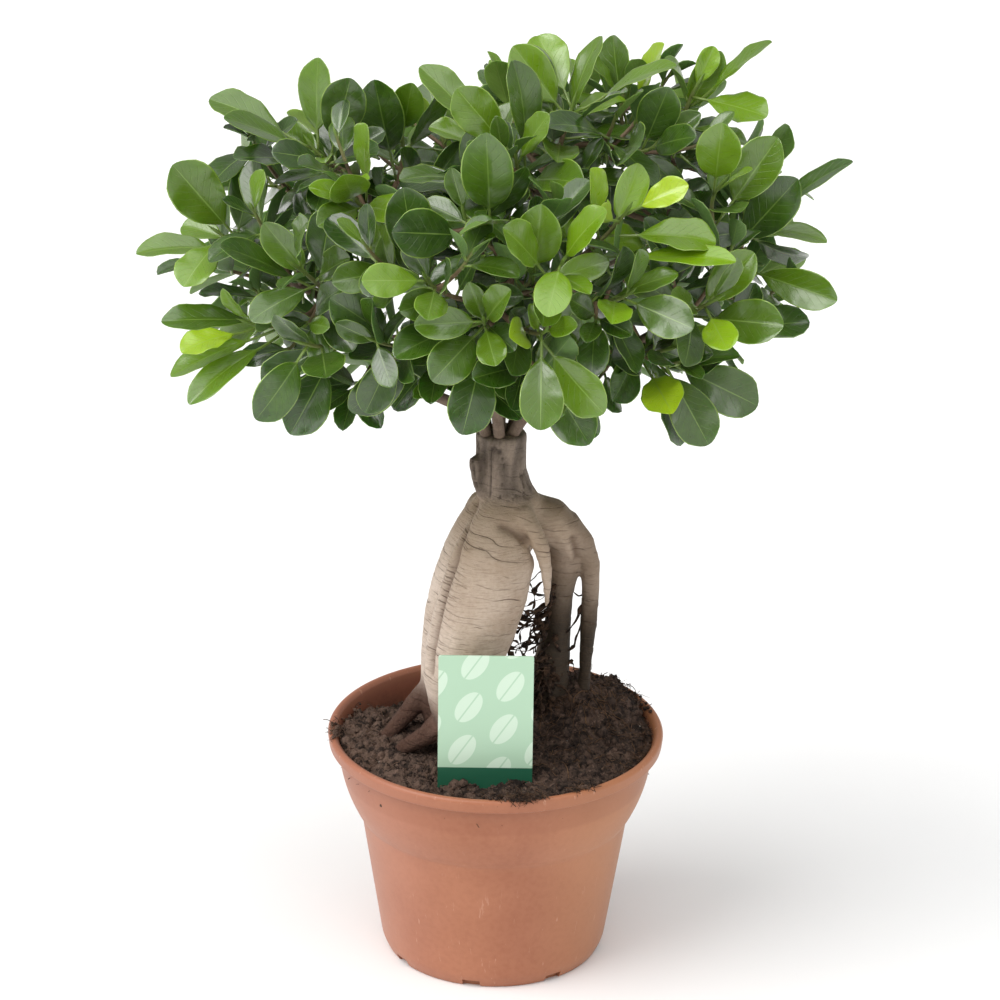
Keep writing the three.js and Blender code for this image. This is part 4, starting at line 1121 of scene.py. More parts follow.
@dataclass
class PeatBed:
    """The lumpy body of peat. Rays find the CAD soil from above and from beside, in metres.

    Swells, clods, crumbs and grit each have a noise's scale and how much they raise the top.
    """

    node: str = "soil"
    rings: int = 100
    sectors: int = 440
    hole_below: float = 100.0
    walls: tuple[float, ...] = (100.0, 87.0, 74.0, 40.0, 7.0, 3.0)
    lump: float = 5.2
    calm_rings: float = 12.0
    top_share: float = 0.999
    swells: Pair = (0.055, 2.1)
    clods: Pair = (0.12, 0.5)
    crumbs: Pair = (0.34, 0.15)
    grit: Pair = (0.55, 1.3)
    even: float = 0.4
    above: float = 0.3
    beside: float = 0.2
    rim: Span = (100, 130)
    mounds: Rows = (
        (34.0, 9.0, 15.0, 14.0),
        (47.0, 17.0, 20.0, 9.0),
        (14.0, 3.0, 13.0, 11.0),
        (-34.0, 2.0, 14.0, 4.0),
    )

    def turn(self, sector: int) -> Vector:
        """The level direction of one sector."""
        return polar(math.tau * sector / self.sectors)

    def tops(self, tree: BVHTree, radii: list[float]) -> list[list[float]]:
        """The CAD soil's top on a polar grid, with the roots' holes filled from round them.

        Args:
            tree: The CAD soil's faces.
            radii: How far the top reaches, by sector.

        Returns:
            Height by ring and sector, in metres.
        """
        high = UP * self.above
        lowest = self.hole_below * MM
        tops: list[list[float | None]] = []
        for i in range(self.rings + 1):
            shares = (i / self.rings * self.top_share for _ in range(self.sectors))
            places = (self.turn(k) * radii[k] * share for k, share in enumerate(shares))
            hits = (tree.ray_cast(high + place, -UP)[0] for place in places)
            tops.append([hit.z if hit is not None and hit.z > lowest else None for hit in hits])
        missing = [(i, k) for i, row in enumerate(tops) for k, top in enumerate(row) if top is None]
        while missing:
            found, left = [], []
            for i, k in missing:
                near = [tops[i][k - 1], tops[i][(k + 1) % self.sectors]]
                near += [tops[j][k] for j in (i - 1, i + 1) if 0 <= j <= self.rings]
                known = [n for n in near if n is not None]
                (found if known else left).append((i, k, known))
            for i, k, known in found:
                tops[i][k] = sum(known) / len(known)
            missing = [(i, k) for i, k, _ in left]
        return tops

    def heap(self, place: Vector) -> float:
        """How much higher the peat is heaped round the roots' feet at a place."""
        rise = 0.0
        for x, y, radius, height in self.mounds:
            away = (place.xy - Vector((x, y)) * MM).length / (radius * MM)
            rise += height * MM * math.exp(-away * away)
        return rise

    def wall(self, tree: BVHTree, outward: Vector, height: float) -> Vector | None:
        """Where a level ray from outside meets the CAD soil's wall."""
        return tree.ray_cast(outward * self.beside + UP * height * MM, -outward)[0]

    def reach(self, tree: BVHTree, outward: Vector) -> float:
        """How far the CAD soil reaches in one direction at its top edge."""
        hits = [self.wall(tree, outward, height) for height in range(*self.rim)]
        return max(hit.xy.length for hit in hits if hit is not None)

    def bed(self) -> Mesh:
        """The closed body of peat, with a mask that is 1 on its open top."""
        tree = surface_of(frame["nodes"][self.node])
        sectors = range(self.sectors)
        radii = [self.reach(tree, self.turn(k)) for k in sectors]
        tops = self.tops(tree, radii)
        rows = []
        for i in range(1, self.rings + 1):
            fading = min((self.rings - i) / self.calm_rings, 1.0)
            reached = [radii[k] * i / self.rings for k in sectors]
            heaps = [self.heap(self.turn(k) * reached[k]) * fading for k in sectors]
            rows.append([(reached[k], tops[i][k] + heaps[k]) for k in sectors])
        for height in self.walls:
            hits = [self.wall(tree, self.turn(k), height) for k in sectors]
            widths = (radii[k] if hit is None else hit.xy.length for k, hit in enumerate(hits))
            rows.append([(width, height * MM) for width in widths])
        points = [UP * (sum(tops[0]) / self.sectors + self.heap(Vector()))]
        for row in rows:
            points += [self.turn(k) * radius + UP * height for k, (radius, height) in enumerate(row)]
        points.append(UP * self.walls[-1] * MM)
        on_top = 1 + self.rings * self.sectors
        open_top = [1.0] * on_top + [0.0] * (len(points) - on_top)
        faces = closed_faces(self.sectors, len(rows), 1, len(points) - 1, flipped=True)
        return mesh_of("peat_bed", points, faces=faces, open_top=open_top)

    def recipe(self) -> NodeTree:
        """Swells, clods and crumbs in relief on the open top."""
        grown = Growth("peat_relief", {Kind.NUMBER: ["Lump"], Kind.MATERIAL: ["Peat"]})
        place = grown.place() * (1 / MM)
        swell = grown.noise(place, self.swells[0]) - 0.5
        warped = place + grown.noise(place, 0.2, 3.0) * 5.0
        clods, crumbs = (self.cells(grown, warped, kind[0]) for kind in (self.clods, self.crumbs))
        clods = 1.0 - grown.step(clods, 0.1, 0.85)
        crumbs = 1.0 - grown.step(crumbs, 0.05, 0.8)
        grit = grown.noise(place, self.grit[0], 4.0, 0.75) - 0.5
        rise = swell * self.swells[1] + (clods - self.even) * self.clods[1]
        rise = rise + (crumbs - self.even) * self.crumbs[1] + grit * self.grit[1]
        height = rise * grown["Lump"] * grown.carried("open_top")
        lifted = grown.value("ShaderNodeCombineXYZ", {"Z": height})
        return grown.finished(grown.moved(grown["Geometry"], offset=lifted), grown["Peat"])

    @staticmethod
    def cells(grown: Growth, place: Field, scale: float) -> Field:
        """Distance to the nearest middle of a clod."""
        return grown.value("ShaderNodeTexVoronoi", {"Vector": place, "Scale": scale})

    def build(self, peat: Material) -> Object:
        """Makes the peat bed and settles it in place of its CAD node."""
        bed = object_of("peat_bed", self.bed())
        return settle(grow(bed, self.recipe(), lump=self.lump * MM, peat=peat), Slot.SOIL, self.node)


class Bit(Enum):
    """Shapes of the small things that lie on the peat."""

    CRUMB = "crumb_blank"
    FIBRE = "fibre_blank"

    def mesh(self) -> Mesh:
        """The shape at unit size, closed: a ball of twenty faces or a bent three-sided fibre."""
        if self is Bit.CRUMB:
            ball = bmesh.new()
            bmesh.ops.create_icosphere(ball, subdivisions=1, radius=0.5)
            return kept_mesh(self.value, ball)
        points, faces = [], []
        steps, sides, thickness = 6, 3, 0.024
        for i in range(steps):
            share = i / (steps - 1)
            thin = thickness * (1.15 - share * 0.7)
            for k in range(sides):
                round_it = polar(math.tau * k / sides, thin)
                across, lift = 0.16 * math.sin(share * math.pi), 0.1 * math.sin(share * 5.0)
                points.append((share - 0.5, round_it.x + across, round_it.y + lift))
        last = (steps - 1) * sides
        for low, k in product(range(0, last, sides), range(sides)):
            aside, high = (k + 1) % sides, low + sides
            faces.append((low + k, low + aside, high + aside, high + k))
        return mesh_of(self.value, points, faces=[*faces, (2, 1, 0), (last, last + 1, last + 2)])


@dataclass(frozen=True)
class Litter:
    """One kind of small thing that lies all over the peat. Sizes are in millimetres."""

    name: str
    bit: Bit
    density: float
    size: Pair
    tilt: float
    ragged: float
    seed: int
    spills: bool = False


@dataclass
class LitterLayer:
    """Everything that lies loose on the peat: crumbs, chips, fibres, rootlets and white grains."""

    kinds: tuple[Litter, ...] = (
        Litter("peat_crumbs", Bit.CRUMB, 230000.0, (0.6, 2.2), 3.0, 1.1, 1, True),
        Litter("peat_clods", Bit.CRUMB, 15000.0, (2.6, 6.6), 3.0, 4.4, 2),
        Litter("peat_fibres", Bit.FIBRE, 84000.0, (3.0, 10.0), 0.7, 0.0, 3, True),
        Litter("tan_fibres", Bit.FIBRE, 8000.0, (3.5, 9.0), 0.9, 0.0, 4),
        Litter("white_grains", Bit.CRUMB, 1500.0, (0.7, 1.4), 3.0, 0.4, 5),
    )
    spill_places: Rows = (
        (184.0, 6.0, 81.0, 119.2, 36),
        (281.0, 7.0, 82.0, 119.2, 210),
        (302.0, 5.0, 81.0, 119.2, 60),
        (272.0, 6.0, 80.5, 119.2, 40),
        (36.0, 20.0, 80.5, 119.2, 90),
        (352.0, 36.0, 77.2, 115.0, 240),
        (196.0, 30.0, 77.2, 115.0, 170),
    )
    on_rim: float = 81.0
    seed: int = 12

    def spill(self) -> Mesh:
        """Points where peat lies on or at the rim: azimuth, spread, radius, height and number each."""
        draw = random.Random(self.seed)
        points = []
        for azimuth, spread, radius, level, count in self.spill_places:
            for _ in range(count):
                turn = math.radians(azimuth + draw.gauss(0.0, spread / 2))
                out = min(radius + draw.gauss(0.0, 1.6 if level > 118.0 else 0.7), 84.0)
                height = level + (0.9 if out > self.on_rim else 0.0) + draw.random() * 0.9
                points.append(polar(turn, out, height) * MM)
        return mesh_of("spill", points)

    def recipe(self) -> NodeTree:
        """Scatters one kind of thing over the open top, with uneven density."""
        inputs = {
            Kind.OBJECT: ["Thing", "Spill"],
            Kind.NUMBER: ["Density", "Least", "Most", "Tilt", "Ragged"],
            Kind.COUNT: ["Seed"],
            Kind.MATERIAL: ["Finish"],
        }
        grown = Growth("litter", inputs)
        seed, tilt = grown["Seed"], grown["Tilt"]
        uneven = grown.step(grown.noise(grown.place() * (1 / MM) + seed * 7.0, 0.09, 3.0), 0.3, 0.7)
        density = grown["Density"] * uneven * grown.carried("open_top")
        inputs = {"Mesh": grown["Geometry"], "Density": density, "Seed": seed}
        scattered = grown.out(grown.node("GeometryNodeDistributePointsOnFaces", inputs), "Points")
        low = grown.value("ShaderNodeCombineXYZ", {"X": tilt * -1.0, "Y": tilt * -1.0, "Z": 0.0})
        high = grown.value("ShaderNodeCombineXYZ", {"X": tilt, "Y": tilt, "Z": math.tau})
        inputs = {
            "Points": grown.joined(scattered, grown.shown("Spill")),
            "Instance": grown.shown("Thing"),
            "Rotation": grown.value(
                "FunctionNodeEulerToRotation", {"Euler": self.chance(grown, "FLOAT_VECTOR", low, high)}
            ),
            "Scale": self.chance(grown, "FLOAT", grown["Least"], grown["Most"]),
        }
        real = grown.real(grown.value("GeometryNodeInstanceOnPoints", inputs))
        shift = grown.node("ShaderNodeTexNoise", {"Vector": grown.place(), "Scale": 800.0})
        real = grown.moved(real, offset=(grown.out(shift, "Color") - 0.5) * grown["Ragged"])
        return grown.finished(real, grown["Finish"])

    @staticmethod
    def chance(grown: Growth, data_type: str, low: Field, high: Field) -> Field:
        """A random value between two others, by the tree's own seed."""
        inputs = {"Min": low, "Max": high, "Seed": grown["Seed"]}
        return grown.value("FunctionNodeRandomValue", inputs, data_type=data_type)

    def build(self, bed: Object, finishes: dict[str, Material]) -> None:
        """Scatters each kind of thing over the finished bed.

        Args:
            bed: The peat.
            finishes: Material by kind.
        """
        recipe = self.recipe()
        things = {bit: object_of(bit.value, bit.mesh()) for bit in Bit}
        spill = object_of("spill", self.spill())
        for kind in self.kinds:
            layer = object_of(kind.name, bed.data.copy())
            grow(
                layer,
                recipe,
                thing=things[kind.bit],
                spill=spill if kind.spills else None,
                density=kind.density,
                least=kind.size[0] * MM,
                most=kind.size[1] * MM,
                tilt=kind.tilt,
                ragged=kind.ragged * MM,
                seed=kind.seed,
                finish=finishes[kind.name],
            )
            settle(layer, Slot.SOIL)
        for helper in [*things.values(), spill]:
            bpy.data.objects.remove(helper)


@dataclass
class Rootstock:
    """Swollen roots and sawn stump: the CAD form rounded off, with its folds and creases in relief.

    The folds are lines in millimetres. They are laid on the surface and sunk into it.
    """

    node: str = "rootstock"
    voxel: float = 1.1
    rounding: int = 14
    regain: float = 0.5
    wrinkle: float = 0.4
    lump: float = 1.8
    crack: float = 1.1
    fold_depth: float = 2.6
    fold_width: float = 2.8
    stump_from: float = 250.0
    flank_fold: tuple[Place, ...] = (
        (-11.0, -2.0, 245.0),
        (-16.0, -16.0, 235.0),
        (-21.0, -25.0, 223.0),
        (-26.0, -29.0, 206.0),
        (-30.0, -33.0, 188.0),
        (-33.0, -36.0, 167.0),
    )
    folds: tuple[tuple[Place, ...], ...] = (
        ((2.0, -23.0, 241.0), (5.0, -23.0, 240.0), (11.0, -21.0, 234.0), (15.0, -15.0, 226.0)),
        ((37.0, -5.0, 227.0), (40.0, -4.0, 219.0), (41.0, -3.0, 212.0)),
        ((-8.0, -9.0, 282.0), (-9.0, -9.0, 257.0)),
        ((11.0, -7.0, 281.0), (9.0, -9.0, 270.0), (7.0, -11.0, 256.0)),
        ((3.0, -12.0, 268.0), (3.0, -12.0, 254.0)),
    )
    step: float = 2.0

    def lines(self, tree: BVHTree, folds: Sequence[Sequence[Place]]) -> Mesh:
        """Lines laid on the surface.

        Args:
            tree: The surface.
            folds: The lines' points in millimetres.

        Returns:
            A mesh of edges.
        """
        points, edges = [], []
        for fold in folds:
            row = []
            for one, other in zip(fold, fold[1:]):
                start, end = Vector(one), Vector(other)
                count = max(1, round((end - start).length / self.step))
                row += [start.lerp(end, i / count) for i in range(count)]
            row.append(Vector(fold[-1]))
            first = len(points)
            points += [tree.find_nearest(place * MM)[0] for place in row]
            edges += [(first + i, first + i + 1) for i in range(len(row) - 1)]
        return mesh_of("folds", points, edges)

    def recipe(self) -> NodeTree:
        """Relief on the rounded form. It keeps how near each point is to a fold and a crack."""
        inputs = {
            Kind.OBJECT: ["Folds", "Flank"],
            Kind.NUMBER: ["Fold Depth", "Fold Width", "Regain", "Wrinkle", "Lump", "Crack", "Stump From"],
            Kind.MATERIAL: ["Bark"],
        }
        grown = Growth("root_relief", inputs)
        place = grown.place() * (1 / MM)
        z = grown.parts(place)[2]
        stump = grown.step(z / (grown["Stump From"] * (1 / MM)), 0.985, 1.01)
        width = grown["Fold Width"]
        to_fold = self.distance(grown, "Folds") / width
        to_flank = self.distance(grown, "Flank") / width
        nearest = grown.math("MINIMUM", to_fold, to_flank)
        groove = grown.math("EXPONENT", nearest * nearest * -1.0)
        ladder = grown.math("EXPONENT", to_flank * to_flank * -0.12)
        wrinkle = grown.creases(place, 7.0, 0.12, 7.0) * (1.0 - stump)
        deep = grown.noise(place * (0.09, 0.09, 0.02), 1.0) - 0.5
        crack = (1.0 - grown.step(abs(deep), 0.003, 0.018)) * stump
        swell = grown.noise(place, 0.05, 3.0) - 0.5
        rise = (
            grown["Regain"]
            + grown["Lump"] * swell
            - grown["Wrinkle"] * wrinkle
            - grown["Crack"] * crack
            - grown["Fold Depth"] * groove * (1.0 - stump * 0.72)
        )
        # The bark's material paints shade where groove, ladder and crack are high.
        shaped = grown.keep(grown["Geometry"], "groove", groove * groove)
        shaped = grown.keep(shaped, "ladder", ladder)
        shaped = grown.keep(shaped, "crack", grown.math("MAXIMUM", crack * 0.6, groove * stump * 0.5))
        shaped = grown.moved(shaped, offset=grown.normal() * rise)
        return grown.finished(shaped, grown["Bark"])

    @staticmethod
    def distance(grown: Growth, name: str) -> Field:
        """How far each point is from the lines of an object given by name."""
        node = grown.node("GeometryNodeProximity", target_element="EDGES")
        grown.feed(node.inputs[0], grown.shown(name))
        return grown.out(node, "Distance")

    def build(self, bark: Material) -> Object:
        """Makes the rootstock and settles it in place of its CAD node.

        Args:
            bark: The root bark.

        Returns:
            The rootstock.
        """
        form = kept_mesh("rootstock_form", merged_copy(frame["nodes"][self.node]))
        roots = object_of("ginseng_roots", form)
        put(roots.modifiers.new("round", "REMESH"), mode="VOXEL", voxel_size=self.voxel * MM)
        put(roots.modifiers.new("soften", "SMOOTH"), factor=0.5, iterations=self.rounding)
        grow(roots)
        tree = surface_of(roots)
        folds = object_of("folds", self.lines(tree, self.folds))
        flank = object_of("flank_fold", self.lines(tree, [self.flank_fold]))
        named = ("fold_depth", "fold_width", "regain", "wrinkle", "lump", "crack", "stump_from")
        sizes = {name: getattr(self, name) * MM for name in named}
        grow(roots, self.recipe(), folds=folds, flank=flank, bark=bark, **sizes)
        for helper in (folds, flank):
            bpy.data.objects.remove(helper)
        return settle(roots, Slot.BARK, self.node)


@cache
def tube_recipe() -> NodeTree:
    """Tubes along lines, with a knobbly surface. One tree serves all of them."""
    inputs = {Kind.COUNT: ["Sides"], Kind.NUMBER: ["Knobs"], Kind.MATERIAL: ["Bark"]}
    grown = Growth("branch", inputs)
    tube = grown.tube(grown["Geometry"], grown["Sides"], grown.carried("girth"))
    knobs = grown.noise(grown.place() * (1 / MM), 0.16, 3.0) - 0.5
    tube = grown.moved(tube, offset=grown.normal() * (knobs * grown["Knobs"]))
    return grown.finished(tube, grown["Bark"])


@dataclass
class Lines:
    """Points joined in open lines, each point with a radius and how woody it is."""

    points: list[Vector] = field(default_factory=list)
    edges: list[tuple[int, int]] = field(default_factory=list)
    girth: list[float] = field(default_factory=list)
    woody: list[float] = field(default_factory=list)

    def add(self, places: Sequence[Vector], radii: Sequence[float], woody: Sequence[float]) -> None:
        """Adds one open line.

        Args:
            places: Its points.
            radii: Their radii.
            woody: How woody each is, from 0 to 1.
        """
        start = len(self.points)
        self.points += places
        self.girth += radii
        self.woody += woody
        self.edges += [(start + i, start + i + 1) for i in range(len(places) - 1)]

    def tubes(self, name: str, sides: int, knobs_mm: float, bark: Material) -> Object:
        """The lines as knobbly tubes.

        Args:
            name: The piece's name.
            sides: Points round a tube.
            knobs_mm: How far the knobs stand out, in millimetres.
            bark: The material.

        Returns:
            The piece.
        """
        mesh = mesh_of(name, self.points, self.edges, girth=self.girth, woody=self.woody)
        return grow(object_of(name, mesh), tube_recipe(), sides=sides, knobs=knobs_mm * MM, bark=bark)


@dataclass(frozen=True)
class Opening:
    """A gap between two root legs, and the fine roots in it.

    It has its top and its bottom, how far the legs are from its middle line, and how many fine
    roots cross it and hang in it.
    """

    top: Place
    bottom: Place
    reach: float
    crossing: int
    hanging: int


@dataclass
class RootHairs:
    """Fine dark roots, some caked with soil, that hang in the openings between the root legs."""

    openings: tuple[Opening, ...] = (
        Opening((19.0, 0.0, 205.0), (18.0, 1.0, 199.0), 10.0, 2, 4),
        Opening((18.0, 0.0, 192.0), (17.0, 1.0, 184.0), 10.0, 6, 9),
        Opening((12.0, 1.0, 184.0), (10.0, 1.0, 166.0), 5.0, 5, 18),
        Opening((17.0, 1.0, 163.0), (18.0, 2.0, 155.0), 10.0, 8, 14),
        Opening((19.0, 1.0, 150.0), (20.0, 3.0, 134.0), 10.0, 14, 60),
        Opening((41.5, 6.0, 205.0), (40.0, 9.0, 145.0), 4.0, 3, 1),
    )
    girth: Pair = (0.14, 0.4)
    caked: float = 0.9
    depth: float = 0.4
    slope: float = 9.0
    shift: float = 5.0
    sag: Pair = (0.05, 0.3)
    jog: float = 0.5
    hops: Span = (5, 15)
    wander: float = 0.45
    hop: float = 2.6
    sides: int = 5
    knobs: float = 0.5
    seed: int = 23

    def crossing(self, start: Vector, end: Vector, draw: random.Random) -> list[Vector]:
        """A fine root that sags from one leg to the other."""
        sag = draw.uniform(*self.sag) * (end - start).length
        count = max(5, round((end - start).length / (self.hop * MM)))
        line = []
        for i in range(count + 1):
            share = i / count
            bow = math.sin(share * math.pi)
            jog = jitter(draw, self.jog * MM * bow)
            line.append(start.lerp(end, share) - UP * sag * bow + jog)
        return line

    def hanging(self, start: Vector, aside: Vector, draw: random.Random) -> list[Vector]:
        """A fine root that leaves one leg and winds down."""
        line = [start]
        heading = (aside * 0.8 - UP * 0.4).normalized()
        for _ in range(draw.randint(*self.hops)):
            line.append(line[-1] + heading * self.hop * MM)
            heading = (heading * 0.7 - UP * 0.35 + jitter(draw, self.wander)).normalized()
        return line

    def build(self, roots: Object, finish: Material) -> None:
        """Grows the fine roots in each opening.

        Args:
            roots: The rootstock that they grow from.
            finish: Their material.
        """
        tree = surface_of(roots)
        draw = random.Random(self.seed)
        lines = Lines()
        for opening in self.openings:
            for i in range(opening.crossing + opening.hanging):
                middle = Vector(opening.top).lerp(Vector(opening.bottom), draw.random())
                middle.y += draw.uniform(-self.shift, self.shift)
                slope = draw.uniform(-self.slope, self.slope)
                grip = Vector((opening.reach, opening.reach * self.depth, slope))
                ends = [tree.find_nearest((middle + grip * way) * MM)[0] for way in (1.0, -1.0)]
                draw.shuffle(ends)
                if i < opening.crossing:
                    line = self.crossing(ends[0], ends[1], draw)
                else:
                    line = self.hanging(ends[0], (ends[1] - ends[0]).normalized(), draw)
                girth = draw.uniform(*self.girth) * MM
                caked = [girth * (1.0 + (draw.random() ** 4) * self.caked * 6.0) for _ in line]
                lines.add(line, caked, [1.0] * len(line))
        settle(lines.tubes("root_hairs", self.sides, self.knobs, finish), Slot.BARK)


@dataclass
class LooseRootlets:
    """Long thin tan rootlets that wind over the peat, most of them right of the legs."""

    count: int = 55
    middle: Pair = (44.0, 4.0)
    spread: Pair = (20.0, 24.0)
    length: Span = (5, 15)
    hop: float = 2.2
    girth: Pair = (0.13, 0.27)
    loft: float = 2.4
    lift: float = 0.2
    bend: float = 0.25
    wander: float = 0.35
    sides: int = 4
    knobs: float = 0.2
    reach: float = 77.0
    above: float = 0.3
    seed: int = 9

    def line(self, tree: BVHTree, draw: random.Random) -> list[Vector]:
        """One rootlet's line over the peat, or nothing where it would leave it."""
        x, y = (draw.gauss(m, s) for m, s in zip(self.middle, self.spread))
        heading, bend = draw.uniform(0.0, math.tau), draw.uniform(-self.bend, self.bend)
        count = draw.randint(*self.length)
        loft = draw.random() ** 2 * self.loft
        line = []
        for i in range(count + 1):
            hit = tree.ray_cast(Vector((x * MM, y * MM, self.above)), -UP)[0]
            if hit is None or math.hypot(x, y) > self.reach:
                return []
            lift = self.lift + loft * math.sin(math.pi * i / count)
            line.append(hit + UP * lift * MM)
            x += self.hop * math.cos(heading)
            y += self.hop * math.sin(heading)
            heading += bend + draw.gauss(0.0, self.wander)
        return line

    def build(self, bed: Object, finish: Material) -> None:
        """Lays the rootlets on the finished bed.

        Args:
            bed: The peat.
            finish: The rootlets' material.
        """
        tree = surface_of(bed)
        draw = random.Random(self.seed)
        lines = Lines()
        for _ in range(self.count):
            line = self.line(tree, draw)
            girth = draw.uniform(*self.girth) * MM
            if line:
                lines.add(line, [girth] * len(line), [1.0] * len(line))
        settle(lines.tubes("loose_rootlets", self.sides, self.knobs, finish), Slot.BARK)


@dataclass
class Scions:
    """The grafted branches, as round tubes on the CAD branches' own centre lines."""

    sides: int = 14
    ring: int = 5
    roundness: float = 0.93
    knobs: float = 0.7
    sink: float = 2.5

    def line(self, node: Object) -> Lines:
        """One branch's line, read from its CAD mesh.

        Args:
            node: The CAD branch.

        Returns:
            Its centre line, sunk a little into the stump.
        """
        copy = merged_copy(node)
        foot = sorted(copy.verts, key=lambda v: v.co.z)[: self.ring]
        middles, radii = centre_line(tube_levels(foot))
        copy.free()
        middles[0] = middles[0] + (middles[0] - middles[1]).normalized() * self.sink * MM
        lines = Lines()
        lines.add(middles, [radius * self.roundness for radius in radii], [1.0] * len(middles))
        return lines

    def build(self, bark: Material) -> list[Lines]:
        """Makes each branch and settles it in place of its CAD node.

        Args:
            bark: The branch bark.

        Returns:
            The branches' centre lines.
        """
        made = []
        for name in sorted(n for n in frame["nodes"] if n.startswith("scion")):
            made.append(self.line(frame["nodes"][name]))
            branch = made[-1].tubes(name.replace("scion", "grafted_branch"), self.sides, self.knobs, bark)
            settle(branch, Slot.TWIG, name)
        return made


# How the blade narrows: its foot's exponent for the plainest leaf and what chance adds, and its tip's.
# Its point takes a share off the width from a share of the length on.
LEAF_FOOT = (0.62, 0.28)
LEAF_TIP = 0.52
LEAF_POINT = (0.22, 0.82)

# Half its thickness at the midrib and how much less at the edge, and how deep the midrib is above and
# below, all in millimetres. Then the midrib's width as a share of the blade's, and the share of the
# blade's length over which it goes from the stalk's round form to flat.
LEAF_THICK = (0.36, 0.16)
LEAF_RIB_DEPTH = (0.28, 0.42)
LEAF_RIB_WIDTH = 0.085
LEAF_FLAT = 0.14

# What a leaf's point carries of its spot.
LEAF_NUMBERS = ("blade", "half", "arch", "fold", "stalk", "twist", "chance", "youth")
LEAF_VECTORS = ("origin", "forward", "upward", "sideways", "sag")


@dataclass
class LeafSpot:
    """Where one leaf is and how it is bent."""

    origin: Vector
    forward: Vector
    upward: Vector
    sideways: Vector
    tip: Vector
    blade: float
    half: float
    arch: float
    fold: float
    age: float
    youth: float = 0.0
    chance: float = 0.5
    twist: float = 0.0
    stalk: float = 0.0
    sag: Vector = field(default_factory=Vector)

    def draw_in(self, blade: float, roundest: float) -> None:
        """Shortens the blade towards its tip. The stalk bends back to its root.

        Args:
            blade: The new length.
            roundest: The most that half its width may be, as a share of the new length.
        """
        root = self.origin - self.forward * self.stalk + self.sag
        self.origin = self.tip.lerp(self.origin, blade / self.blade)
        self.half = min(self.half, blade * roundest)
        self.blade = blade
        self.stalk = (self.origin - root).length
        self.sag = root - self.origin + self.forward * self.stalk

    def bring_in(self, low: Vector, high: Vector) -> None:
        """Moves the blade back where it sticks out of a box. The stalk bends back to its root.

        Args:
            low: The box's low corner.
            high: Its high corner.
        """
        reaches = list(zip(*self.samples()))
        move = Vector([
            max(a - min(reach), 0.0) - max(max(reach) - b, 0.0) for a, reach, b in zip(low, reaches, high)
        ])
        self.origin, self.tip, self.sag = self.origin + move, self.tip + move, self.sag - move

    def outline(self, t: float) -> float:
        """The blade's width at a share of its length, as a share of its full width."""
        foot = LEAF_FOOT[0] + LEAF_FOOT[1] * self.chance
        widest = foot / (foot + LEAF_TIP)
        late = max((t - LEAF_POINT[1]) / (1.0 - LEAF_POINT[1]), 0.0)
        point = 1.0 - LEAF_POINT[0] * late * late * (3.0 - 2.0 * late)
        return point * (t / widest) ** foot * ((1.0 - t) / (1.0 - widest)) ** LEAF_TIP

    def samples(self) -> list[Vector]:
        """Points spread over the blade."""
        points = []
        for t in (0.15, 0.32, 0.5, 0.68, 0.85, 1.0):
            angle, bend = self.arch * t, self.blade / self.arch
            spine = self.origin + self.forward * bend * math.sin(angle)
            spine += self.upward * bend * (math.cos(angle) - 1.0)
            raised = self.upward * math.cos(angle) + self.forward * math.sin(angle)
            width = self.half * self.outline(min(t, 0.999))
            aside = self.sideways * width * math.cos(self.fold) * 0.85
            lift = raised * width * math.sin(self.fold) * 0.78
            points += [spine, spine + aside + lift, spine - aside + lift]
        return points


Stem = tuple[list[Vector], list[float]]


